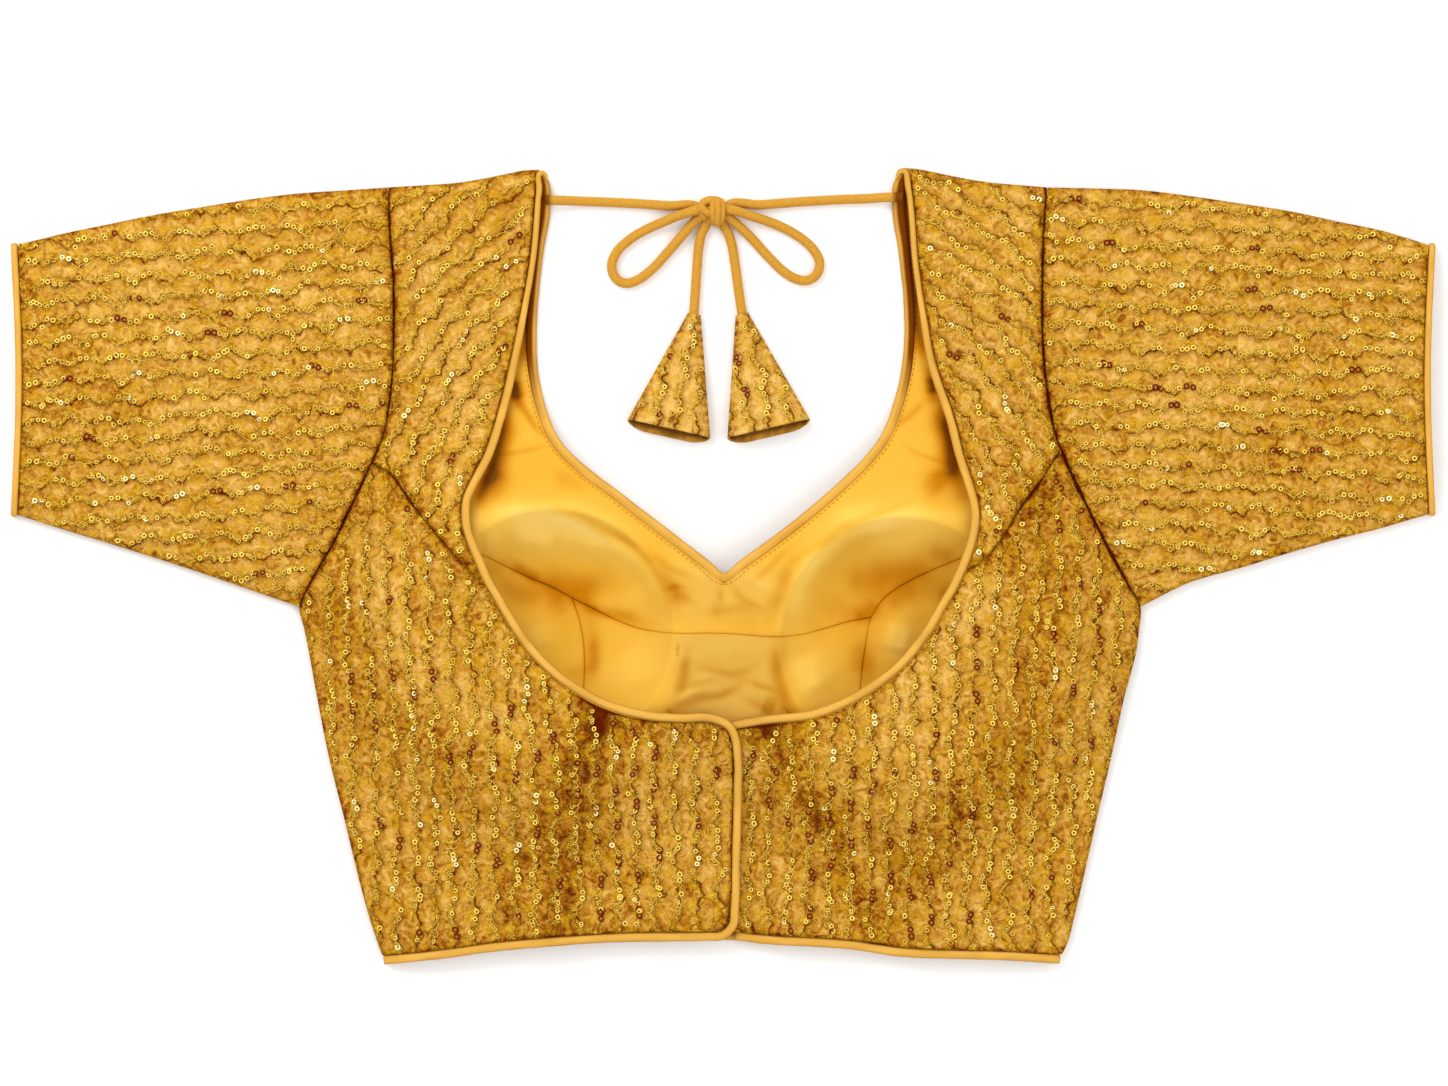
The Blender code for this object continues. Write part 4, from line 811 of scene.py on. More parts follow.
def node_outline(node, spacing):
    """A CAD wall's plan outline, anticlockwise, from its upright side faces, smoothed."""
    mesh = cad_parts[node].data
    beside = {}
    places = [tuple(round(c / MM, 2) for c in vertex.co[:2]) for vertex in mesh.vertices]
    for face in mesh.polygons:
        corners = list({places[i] for i in face.vertices})
        if len(corners) == 2:
            beside.setdefault(corners[0], set()).add(corners[1])
            beside.setdefault(corners[1], set()).add(corners[0])
    loop = [min(beside)]
    while True:
        onward = [p for p in beside[loop[-1]] if p not in loop[-2:]]
        if not onward or (len(loop) > 2 and onward[0] == loop[0]):
            break
        loop.append(onward[0])
    loop = np.array(loop)
    turning = np.sum(loop[:, 0] * np.roll(loop[:, 1], -1) - loop[:, 1] * np.roll(loop[:, 0], -1))
    loop = loop if turning > 0 else loop[::-1]
    return smoothed_loop(loop, spacing)


def smoothed_loop(loop, spacing, corner=38.0):
    """A closed outline with its points on smooth curves between its corners."""
    ahead = np.roll(loop, -1, axis=0) - loop
    behind = loop - np.roll(loop, 1, axis=0)
    turn = np.degrees(np.arctan2(
        behind[:, 0] * ahead[:, 1] - behind[:, 1] * ahead[:, 0], np.sum(ahead * behind, axis=1)
    ))
    corners = np.flatnonzero(np.abs(turn) > corner)
    loop = np.roll(loop, -corners[0], axis=0)
    corners = [*(corners - corners[0]), len(loop)]
    closed = np.vstack([loop, loop[:1]])
    pieces = []
    for first, last in zip(corners[:-1], corners[1:]):
        stretch = closed[first:last + 1]
        line = curve_through(stretch, spacing) if len(stretch) > 2 else respace(stretch, spacing)
        pieces.append(line[:-1])
    return np.vstack(pieces)


def inside_outline(x, y, outline):
    """Which points lie inside a closed outline."""
    within = np.zeros(np.shape(x), bool)
    for (x0, y0), (x1, y1) in zip(outline, np.roll(outline, -1, axis=0)):
        if y0 == y1:
            continue
        crosses = (y0 > y) != (y1 > y)
        within ^= crosses & (x < (x1 - x0) * (y - y0) / (y1 - y0) + x0)
    return within


def edge_distance(x, y, outline, every=4):
    """Distance of each point from an outline, read from every few of its points."""
    coarse = outline[::every]
    return away(x, y, np.vstack([coarse, coarse[:1]]))


def grown(outline, by):
    """A closed outline moved outwards by a distance."""
    ahead = unit(np.roll(outline, -1, axis=0) - np.roll(outline, 1, axis=0))
    return outline + by * np.column_stack([ahead[:, 1], -ahead[:, 0]])


def plan_triangles(outline, pitch, rim=0.0):
    """Triangles over an outline, on points in offset rows, with a ring of points inside its rim."""
    low, high = outline.min(axis=0), outline.max(axis=0)
    rise = pitch * math.sqrt(3) / 2
    rows = []
    for row in range(math.floor(low[1] / rise), math.ceil(high[1] / rise) + 1):
        start = math.floor(low[0] / pitch) * pitch + (pitch / 2 if row % 2 else 0.0)
        xs = np.arange(start, high[0] + pitch, pitch)
        rows.append(np.column_stack([xs, np.full(len(xs), row * rise)]))
    grid = np.vstack(rows)
    grid = grid[inside_outline(*grid.T, outline)]
    grid = grid[edge_distance(*grid.T, outline, 1) > 0.55 * pitch + rim]
    if rim:
        ring = grown(outline, -rim)
        ring = ring[edge_distance(*ring.T, outline, 1) > 0.8 * rim]
        grid = np.vstack([grid, ring])
    points = np.vstack([outline, grid])
    result = delaunay_2d_cdt([tuple(p) for p in points], [], [list(range(len(outline)))], 1, 1e-6)
    return np.array([tuple(v) for v in result[0]]), [tuple(face) for face in result[2]]


def wall(name, outline, under, over, pitch, under_pitch, materials, tone, lanes=None, rim=0.0,
         dull=None):
    """A cloth wall over an outline: a fine upper face, a coarser lower one and its edge.

    The materials are those of the upper and the lower face; lanes give the embroidery's rows.
    """
    top, top_faces = plan_triangles(outline, pitch, rim)
    low, low_faces = plan_triangles(outline, under_pitch)
    start = len(top)
    points = np.vstack([np.column_stack([top, over(*top.T)]), np.column_stack([low, under(*low.T)])])
    uses = dict.fromkeys((i, j) for face in top_faces for i, j in zip(face, face[1:] + face[:1]))
    matching = {tuple(np.round(p, 3)): k for k, p in enumerate(low)}
    sides = []
    for i, j in uses:
        if (j, i) not in uses:
            below_i, below_j = (matching[tuple(np.round(top[k], 3))] + start for k in (i, j))
            sides.append((i, below_i, below_j, j))
    faces = top_faces + [tuple(i + start for i in reversed(face)) for face in low_faces] + sides
    slots = [0] * len(top_faces) + [1] * len(low_faces) + [0] * len(sides)
    tones = np.concatenate([tone(*top.T), tone(*low.T)])
    rows = lanes(*points[:, :2].T) if lanes else None
    shares = dull(*points[:, :2].T) if dull else None
    return make_object(name, points, faces, materials, slots, tones, rows, shares)


# ---------------------------------------------------------------- embroidered cloth

def beside_rows(x, y, line):
    """For each point, its distance to the left of a line and its place along it."""
    best = np.full(np.shape(x), 1e9)
    across, along = np.zeros(np.shape(x)), np.zeros(np.shape(x))
    passed = 0.0
    for start, end in zip(line[:-1], line[1:]):
        run = end - start
        length = np.hypot(*run)
        run = run / length
        dx, dy = x - start[0], y - start[1]
        forward = np.clip(dx * run[0] + dy * run[1], 0.0, length)
        gap = np.hypot(dx - forward * run[0], dy - forward * run[1])
        closer = gap < best
        best = np.where(closer, gap, best)
        across = np.where(closer, gap * np.sign(run[0] * dy - run[1] * dx), across)
        along = np.where(closer, passed + forward, along)
        passed += length
    return across, along


def on_rows(across, along, line):
    """Plan points at distances to the left of a line and along it, and the rows' direction."""
    places = travelled(line)
    ahead = np.gradient(line, places, axis=0)
    x, y = (np.interp(along, places, line[:, k]) for k in (0, 1))
    dx, dy = (np.interp(along, places, ahead[:, k]) for k in (0, 1))
    length = np.hypot(dx, dy)
    dx, dy = dx / length, dy / length
    return x - dy * across, y + dx * across, dx, dy


def row_wave(row, along):
    """How far a row swings at a place along it, counted in motifs."""
    return WAVE * np.sin(2 * math.pi * (along + row / 2))


def armhole_groove(x, y):
    """1 on an armhole seam, falling off beside it."""
    return np.exp(-away_from_all(x, y, ARMHOLES) / 2.4)


def shades(x, y):
    """Painted sheen and shade patches of the upper layer."""
    total = 0.0
    for tone, width, points in SHADES:
        near = away(x, y, points) + 0.35 * width * mottle(x, y, 0.9 * width, 15)
        total = total + tone * bell(near, width)
    return total


class Cloth:
    """Embroidered cloth of one panel: where its rows run, how it puckers and how it is shaded.

    Light falls from the upper left, and the side is the one of each row away from it.
    """

    def __init__(self, rows, over, outline, side=1, strength=1.0, inner_edge=1.2, light=0.6):
        self.line = curve_through(rows, 6.0)
        self.base = over
        self.outline = outline
        self.side = side
        self.strength = strength
        self.inner_edge = inner_edge
        self.light = light

    def places(self, x, y):
        """Where each point lies: across the rows in rows, along them in motifs."""
        across, along = beside_rows(x, y, self.line)
        across = across + mottled(x, y, *SIDE_WANDER)
        along = along + mottled(x, y, *LONG_WANDER)
        return across / ROW_PITCH, along / MOTIF_PITCH

    def lanes(self, x, y):
        """What the cloth's material reads: the place of each point and the crease's side."""
        across, along = self.places(x, y)
        return np.column_stack([across, along, np.full(len(x), float(self.side))])

    def beside(self, x, y):
        """Distance of each point from the nearest row's thread, and its place along the row."""
        across, along = self.places(x, y)
        nearest = np.full(np.shape(x), 1e9)
        for step in (-1, 0, 1):
            row = np.round(across) + step
            gap = (across - row) * ROW_PITCH - row_wave(row, along)
            nearest = np.where(np.abs(gap) < np.abs(nearest), gap, nearest)
        return nearest, along

    def relief(self, x, y):
        """Height of the puckers, sinking at the panel's edge."""
        gap, along = self.beside(x, y)
        lively = 0.75 + 0.5 * mottle(x, y, 16.0, 7)
        ridge = RIDGE * bell(gap, RIDGE_HALF)
        hang = SCALLOP * np.abs(np.sin(math.pi * SCALLOPS * along))
        crease = CREASE * bell(gap * self.side + hang - CREASE_OFF, CREASE_HALF)
        crease = crease * np.clip(0.4 + 1.3 * mottle(x, y, 17.0, 10), 0.0, 1.3)
        pillow = PILLOW * (1 - bell(gap, PILLOW_FROM))
        crinkle = mottled(x, y, (0.28, 2.6, 8), (0.45, 5, 9))
        inside = edge_distance(x, y, self.outline)
        edge = 1 - np.exp(-inside / self.inner_edge)
        puckers = ridge + (pillow - crease) * lively + crinkle
        return self.strength * puckers * edge - 0.5 * (1 - edge) - 0.5 * armhole_groove(x, y)

    def over(self, x, y):
        """Upper face of the cloth."""
        return self.base(x, y) + self.relief(x, y)

    def tone(self, x, y):
        """How light the cloth is, from 0 in the deepest crease to 1: random tone, painted sheen and
        shade patches, and darker at the panel's edges and along the armhole seam.
        """
        inside = edge_distance(x, y, self.outline)
        tone = self.light + mottled(x, y, (0.12, 8, 12), (0.06, 45, 13))
        tone = tone + 1.6 * shades(x, y) - 0.4 * np.exp(-inside / 1.2)
        return tone - 0.38 * armhole_groove(x, y)

    def spots(self, u, v):
        """Plan points at places across and along the rows, in millimetres, and the rows' run."""
        x, y, dx, dy = on_rows(u, v, self.line)
        for _ in range(3):      # the rows wander, so each point is moved until it lies right
            across, along = self.places(x, y)
            miss_u, miss_v = u - across * ROW_PITCH, v - along * MOTIF_PITCH
            x = x - dy * miss_u + dx * miss_v
            y = y + dx * miss_u + dy * miss_v
        return x, y


def ring_points():
    """A sequin's three rings of points: outer edge, crown and edge of its hole."""
    angles = 2 * math.pi * np.arange(SEQUIN_SIDES) / SEQUIN_SIDES
    return np.vstack([
        np.column_stack([radius * np.cos(angles), radius * np.sin(angles), 0 * angles + height])
        for radius, height in ((SEQUIN, 0.0), (0.84 * SEQUIN, 0.34), (SEQUIN_HOLE, 0.12))
    ])


RING_POINTS = ring_points()
RING_FACES = [*ring_quads(0, SEQUIN_SIDES, SEQUIN_SIDES),
              *ring_quads(SEQUIN_SIDES, 2 * SEQUIN_SIDES, SEQUIN_SIDES),
              tuple(range(2 * SEQUIN_SIDES, 3 * SEQUIN_SIDES)),     # the cloth seen through the hole, in painted shade
              tuple(reversed(range(SEQUIN_SIDES)))]
# looks: gold in painted shade, gold as it is, gold with a painted glint, and brown
SHADED_LOOK, GOLD_LOOK, GLINT_LOOK, BROWN_LOOK = range(4)
BROWN_PATCHES = (       # where brown sequins are common: extra share, radius, place
    (0.5, 40, (-58, -125)), (0.35, 30, (100, -130)), (0.25, 26, (95, -180)),
    (0.3, 22, (186, -90)), (0.25, 30, (30, -150)),
)


def brown_share(x, y, base):
    """Share of the motifs that are brown at a place."""
    for extra, radius, (px, py) in BROWN_PATCHES:
        base = base + extra * math.exp(-((x - px) ** 2 + (y - py) ** 2) / radius**2)
    return base


def gold_look(chance, gold_from, glint_from):
    """A gold sequin, picked by chance among one in painted shade, one as it is and one with a painted
    glint.
    """
    return GLINT_LOOK if chance > glint_from else GOLD_LOOK if chance > gold_from else SHADED_LOOK


class Heap:
    """Points and faces of many small things, gathered into one mesh."""

    def __init__(self):
        self.points, self.faces, self.slots, self.total = [], [], [], 0

    def add(self, points, faces, slots):
        """One more thing."""
        self.points.append(points)
        self.faces.extend([tuple(i + self.total for i in face) for face in faces])
        self.slots.extend(slots)
        self.total += len(points)

    def made(self, name, materials):
        """The mesh object of all of them."""
        return make_object(name, np.vstack(self.points), self.faces, materials, self.slots)


def put_sequin(heap, place, look, lean, turn, scale, flip):
    """One sequin, leaning by an angle in a direction."""
    c, s, cl, sl = math.cos(turn), math.sin(turn), math.cos(lean), math.sin(lean)
    basis = np.array([[c, -s * cl, s * sl], [s, c * cl, -c * sl], [0.0, sl, cl]])
    ring = (RING_POINTS * scale) @ basis.T
    ring[:, 2] = flip * (ring[:, 2] - ring[:, 2].min() * 0.6 + 0.06)
    slots = [2 * look] * (2 * SEQUIN_SIDES) + [2 * look + 1, 2 * look]
    heap.add(ring + place, RING_FACES, slots)


def put_tube(heap, path, radius, sides, slot=0):
    """One strand along a path."""
    faces = tube_faces(len(path), sides)
    heap.add(tube_points(path, radius, sides), faces, [slot] * len(faces))


def embroidery(name, cloth, brown, draw, margin=2.6, density=1.0, thread_step=0.42, height=None,
               flip=1.0, lean_most=1.1, stray=1.0):
    """Sequins and gold thread along a panel's rows, as one mesh."""
    height = height or cloth.over
    corners = cloth.outline
    across, along = beside_rows(*corners.T, cloth.line)
    across, along = across / ROW_PITCH, along / MOTIF_PITCH
    rows = np.arange(math.floor(across.min()) - 1, math.ceil(across.max()) + 2)
    motifs = np.arange(math.floor(along.min()) - 2, math.ceil(along.max()) + 2)
    spots, kinds, strands = [], [], []
    for row in rows:
        for motif in motifs:
            crest = motif - row / 2 + 0.25
            v = (crest + draw.uniform(-0.08, 0.08)) * MOTIF_PITCH
            lean = draw.uniform(-0.3, 0.3)
            for offset in (-PAIR, PAIR) if draw.random() < PAIR_CHANCE else (0.0,):
                spots.append((row, v + offset, lean * offset, 0.25, draw.random()))
                kinds.append((motif, True))
            for single in SINGLES:
                if draw.random() < SINGLE_CHANCE * density:
                    w = v + (single + draw.uniform(-0.07, 0.07)) * MOTIF_PITCH
                    off = STRAY if draw.random() < STRAY_CHANCE else stray
                    spots.append((row, w, draw.uniform(-off, off), lean_most, draw.random()))
                    kinds.append((motif, False))
                    if draw.random() < SECOND_CHANCE:
                        off = draw.uniform(-0.8, 0.8)
                        spots.append((row, w + 2 * PAIR, off, 0.5, draw.random()))
                        kinds.append((motif, False))
            for chance in STRAND_CHANCES:
                if draw.random() < chance * density:
                    strands.append((row + draw.uniform(-0.2, 0.2), v + draw.uniform(2.4, 5.0),
                                    draw.uniform(*THREAD_LENGTHS), draw.random()))
    spots = np.array(spots)
    u = spots[:, 0] * ROW_PITCH + row_wave(spots[:, 0], spots[:, 1] / MOTIF_PITCH) + spots[:, 2]
    x, y = cloth.spots(u, spots[:, 1])
    inside = inside_outline(x, y, corners) & (edge_distance(x, y, corners) > margin)
    z = height(x, y)
    heap = Heap()
    looks = {}
    for i in np.flatnonzero(inside):
        row, most, shine = spots[i, 0], spots[i, 3], spots[i, 4]
        motif, main = kinds[i]
        if (row, motif) not in looks:
            chance = draw.random()
            turned_brown = chance < brown_share(x[i], y[i], brown)
            looks[row, motif] = BROWN_LOOK if turned_brown else gold_look(chance, 0.45, 0.93)
        look = looks[row, motif] if main else gold_look(shine, 0.5, 0.96)
        size = draw.uniform(*(BROWN_SIZES if look == BROWN_LOOK else GOLD_SIZES))
        lean = draw.uniform(0.0, min(most, lean_most))
        if main and draw.random() < TIPPED_CHANCE:
            lean = draw.uniform(0.3, 0.9) * lean_most
        put_sequin(heap, (x[i], y[i], z[i]), look, lean, draw.uniform(0, 2 * math.pi), size, flip)
    for path in strand_paths(cloth, strands, margin, thread_step, height, flip):
        put_tube(heap, path, THREAD, 3, len(SEQUIN_LOOKS))
    finished(heap.made(name, SEQUIN_LOOKS + [ZARI]), "sequin_cloth")


def strand_paths(cloth, strands, margin, step, height, flip):
    """Looping strands of gold thread along the rows, those that stay on the panel."""
    counts = [int(length / step) for row, first, length, chance in strands]
    row, first, length, chance = (np.repeat(column, counts) for column in np.array(strands).T)
    share = np.concatenate([np.linspace(0.0, 1.0, count) for count in counts])
    turn = 2 * math.pi * (share * length / THREAD_TURN + chance)
    size = 0.6 + 0.8 * chance
    v = first + length * share + size * np.sin(turn)
    u = row * ROW_PITCH + row_wave(np.round(row), v / MOTIF_PITCH)
    u = u + size * np.cos(turn) + 0.7 * np.sin(0.6 * turn)
    x, y = cloth.spots(u, v)
    inside = inside_outline(x, y, cloth.outline) & (edge_distance(x, y, cloth.outline) > margin)
    z = height(x, y) + flip * (0.26 + 0.12 * np.cos(0.5 * turn))
    points = np.column_stack([x, y, z])
    ends = np.cumsum(counts)
    return [points[start:end] for start, end in zip(ends - counts, ends) if inside[start:end].all()]


def tube_points(path, radius, sides):
    """Rings of points round a path."""
    path = np.asarray(path, float)
    ahead = unit(np.gradient(path, axis=0))
    wide = unit(np.cross(ahead, UP))
    thick = np.cross(wide, ahead)
    angles = [2 * math.pi * k / sides + math.pi / 2 for k in range(sides)]
    rings = [path + radius * (wide * math.cos(a) + thick * math.sin(a)) for a in angles]
    return np.stack(rings, axis=1).reshape(-1, 3)


# ---------------------------------------------------------------- camera, floor and light

VIEW_CENTRE = (1.04, 12.09)
VIEW_WIDTH = 752.96
LENS, SENSOR = 300.0, 36.0
VIEW_LEVEL = 9.0        # height above the floor at which the view is that wide
FLOOR_HALF, FLOOR_LEVEL = 3.0, -0.6     # half the floor's width in metres; its height


def make_camera():
    """A camera straight above the blouse."""
    data = bpy.data.cameras.new("camera")
    data.lens, data.sensor_width = LENS, SENSOR
    data.clip_start, data.clip_end = 0.05, 40.0
    height = VIEW_WIDTH * LENS / SENSOR + VIEW_LEVEL
    bpy.context.scene.camera = placed("camera", data, [c * MM for c in (*VIEW_CENTRE, height)])


def make_light(name, place, size, power):
    """A square soft light that faces the blouse."""
    data = bpy.data.lights.new(name, "AREA")
    data.shape, data.size, data.energy = "SQUARE", size, power
    made = placed(name, data, place)
    made.rotation_euler = (-made.location.normalized()).to_track_quat("-Z", "Y").to_euler()


def make_stage():
    """A pale floor and soft studio light."""
    mesh = bpy.data.meshes.new("floor")
    corners = [(FLOOR_HALF * x, FLOOR_HALF * y, 0) for x, y in ((-1, -1), (1, -1), (1, 1), (-1, 1))]
    mesh.from_pydata(corners, [], [(0, 1, 2, 3)])
    mesh.materials.append(Nodes("floor", (0.96, 0.96, 0.96, 1), Roughness=0.9).material)
    placed("floor", mesh, (0, 0, FLOOR_LEVEL * MM))
    make_light("key", (-0.9, 1.1, 1.3), 1.2, 19.0)
    make_light("fill", (1.3, -0.3, 1.7), 1.6, 12.0)
    world = bpy.data.worlds.new("studio")
    bpy.context.scene.world = world
    world.use_nodes = True
    background = world.node_tree.nodes["Background"]
    background.inputs["Color"].default_value = (1.0, 0.99, 0.97, 1.0)
    background.inputs["Strength"].default_value = 0.92
    bpy.context.scene.view_settings.view_transform = "Standard"


# ---------------------------------------------------------------- cords and knot

def make_cord(name, route, nodes):
    """A round cord along a route, as a curve of one open line."""
    path = curve_through([(*row, CORD_LIE)[:3] for row in route], 2.0)
    data = bpy.data.curves.new(name, "CURVE")
    data.dimensions = "3D"
    data.bevel_depth = CORD / 2 * MM
    data.bevel_resolution = 5
    data.use_fill_caps = True
    spline = data.splines.new("POLY")
    spline.points.add(len(path) - 1)
    for point, place in zip(spline.points, path):
        point.co = (*(c * MM for c in place), 1.0)
    spline.use_smooth = True
    data.materials.append(CORD_SATIN)
    made = finished(placed(name, data), "cord_satin", *nodes)
    return made, steps_of(path).sum()


KNOT_STRANDS = (        # radius, points
    (2.4, ((-14, 185.6, 8.4), (-10.4, 185.1, 7.6), (-6, 184.4, 6.4))),
    (2.4, ((-13.6, 180.4, 4.6), (-10.4, 182.2, 5), (-6.6, 183.6, 5.2))),
    (2.4, ((3.6, 186.1, 8.4), (0.4, 185.6, 7.6), (-3.6, 184.8, 6.4))),
    (2.4, ((3.6, 181.6, 4.8), (0.4, 182.8, 5), (-3.4, 183.6, 5.2))),
    (4.2, ((-9, 184.6, 4.6), (-5.2, 184.8, 5.4), (-1.6, 185, 4.8))),
    (3, ((-7.8, 182.6, 4), (-5.2, 180.6, 4.4), (-2.4, 179.8, 4.4), (-0.6, 181.6, 4.4))),
    (2.3, ((-8.4, 181.4, 5.4), (-10.6, 183.4, 6.6), (-10.9, 186.8, 7.4), (-8.8, 189.6, 8),
           (-5.2, 190.3, 8.6), (-1.8, 189.8, 8.4), (-0.2, 187.4, 7.4), (-0.8, 184.4, 6.4))),
    (2, ((-10.6, 188.2, 7.8), (-9.8, 185.8, 9.4), (-7.6, 184, 9.8), (-5, 183.2, 9))),
    (1.7, ((-4.2, 190.6, 8.4), (-4.6, 188.8, 10.2), (-4.8, 186, 10.9), (-4.6, 182, 10.5),
           (-4, 179.4, 8.4), (-3.6, 178.6, 5))),
    (1.7, ((-2, 190.8, 8.8), (-2.1, 189, 10.6), (-2.2, 186, 11.3), (-2.2, 181.6, 10.8),
           (-2.4, 178.6, 8.4), (-2.5, 178, 5))),
    (1.6, ((-0.2, 190, 8.2), (0.2, 188.4, 9.6), (0.3, 185.8, 10.4), (0.2, 182.2, 10),
           (-0.5, 179.6, 8.2), (-1, 178.8, 5))),
)


def make_knot():
    """The bow's knot: strands wound down over the middle and one across its shoulder."""
    heap = Heap()
    for radius, route in KNOT_STRANDS:
        put_tube(heap, curve_through(route, 0.8), radius, 14)
    for points in heap.points:
        points[:, 2] = np.maximum(points[:, 2], 0.2)
    return finished(heap.made("knot", [CORD_SATIN]), "cord_satin", "bow_knot")


# ---------------------------------------------------------------- piping

RIB_SIDES = 12
STITCH_STEP, STITCH_THICK = 1.4, 0.22


def make_rib(name, path, width, heights, nodes, closed=False, across=None, pitch=2.0, tone=0.5,
             hidden=0.0):
    """Satin piping of oval section along a path, a little uneven.

    Its sides are painted darker than its top, as painted shade, and the hidden share paints shadow on
    its inner side, where the strap above keeps the light off.
    """
    path = np.asarray(path, float)
    sides, count = RIB_SIDES, len(path)
    heights, width = np.broadcast_to(heights, count), np.broadcast_to(width, count)
    if closed:
        ahead = unit(np.roll(path, -1, axis=0) - np.roll(path, 1, axis=0))
    else:
        ahead = unit(np.gradient(path, axis=0))
    wide = unit(np.cross(ahead, UP) if across is None else np.tile(across, (count, 1)))
    thick = unit(np.cross(wide, ahead))
    along = np.arange(count) * pitch
    uneven = 1 + mottled(along, along * 0, (0.035, 7, 21), (0.02, 3, 22))
    rings = []
    for k in range(sides):
        angle = 2 * math.pi * k / sides
        rings.append(path + (wide * (width / 2 * math.cos(angle))[:, None] + thick * (
            heights / 2 * math.sin(angle))[:, None]) * uneven[:, None])
    points = np.stack(rings, axis=1).reshape(-1, 3)
    rise = np.abs(points[:, 2] - np.repeat(path[:, 2], sides))
    upward = np.clip(rise / np.repeat(heights / 2, sides), 0, 1)
    inner = np.tile(eased((np.cos(2 * math.pi * np.arange(sides) / sides) + 0.6) / 0.7), count)
    tones = 0.07 * mottle(np.repeat(along, sides), np.tile(np.arange(sides), count) * 4.0, 9.0, 23)
    # painted shade on the sides, away from the top, and painted shadow on the inner side
    tones = tones + np.repeat(np.broadcast_to(tone, count), sides) - 0.3 * (1 - upward) ** 1.5
    tones = tones - 0.6 * inner * np.repeat(np.broadcast_to(hidden, count), sides)
    made = make_object(name, points, tube_faces(count, sides, closed), [PIPING], tones=tones)
    return finished(made, "piping_satin", *nodes)


def front_neck_line():
    """Outer edge of the front neckline, from the left shoulder to the right one."""
    left = curve_through(table_by_y(FRONT_NECK, "left") + [NECK_POINT], EDGE_PITCH)
    right = curve_through(table_by_y(FRONT_NECK, "right") + [NECK_POINT], EDGE_PITCH)
    return np.vstack([left, right[-2::-1]])


def hem_line(side, start, end, rise):
    """The hem's lower edge between two distances from the middle."""
    rows = [row for row in HEM if start < row[0] < end]
    lefts, rights = (np.array([row[k] for row in HEM]) for k in (1, 2))
    far = np.array([row[0] for row in HEM])
    ends = [(d, np.interp(d, far, lefts), np.interp(d, far, rights)) for d in (start, end)]
    points = table_by_x([ends[0], *rows, ends[1]], side)
    return np.array(curve_through(points, EDGE_PITCH)) + (0.0, rise)


def lifted(line, height, pitch=2.0):
    """Path points over a smoothed plan line at a height function's level."""
    line = curve_through(line, pitch)
    return np.column_stack([line, height(*line.T)])


BACK_TURN = {           # how the back neck's piping turns over the shoulder
    "left": ((-91, 200.6), (-91.5, 202.8), (-93.2, 204.6), (-95, 204), (-95.5, 201.6)),
    "right": ((90.7, 201.2), (91.4, 203.4), (93.2, 205.6), (95.4, 205.2), (96.2, 202.6)),
}
STRAP_SLIM = 1.2        # how much narrower the back neck's piping is on the straps
SLIM_FROM, SLIM_OVER = 90, 60           # the height in plan where it starts, and over how much
STRAP_WIDE = 1.6        # how much wider the front neck's is, out of sight beneath it
WIDE_FROM, WIDE_OVER = 150, 30
SHADE_FROM, SHADE_OVER = 70, 60         # where the strap above starts to keep the light off
FRONT_WIDE, FRONT_OFF = 1.2, 0.35       # how much wider it is all along, and how far off its line
TURN_FROM, TURN_OVER, TURN_SLIM = 197, 7, 3.4       # where it turns over the shoulder
TURN_JOIN = 187         # where the turn joins the line below it
SINK, SINK_FROM, SINK_OVER, SINK_ABOVE = 1.2, 94, 3, 190    # of the back neck's piping at its turn
TURN_SHARES = (0.3, 0.48, 0.66, 0.82, 0.94)         # of the back neck's width, along its turn
SHOULDER_TURN = {       # how the front neck's piping meets it from beneath
    "left": ((-95.4, 203.6, 3.6), (-94.2, 203, 3.6), (-93.2, 200.8, 3.4), (-92.7, 197.4, 3),
             (-92.6, 194, 2.7), (-92.6, 190, 2.4)),
    "right": ((95.6, 204.4, 3.6), (94.4, 203.6, 3.6), (93.1, 201.2, 3.4), (92.3, 197.6, 3),
              (92, 194, 2.7), (92, 190, 2.4)),
}


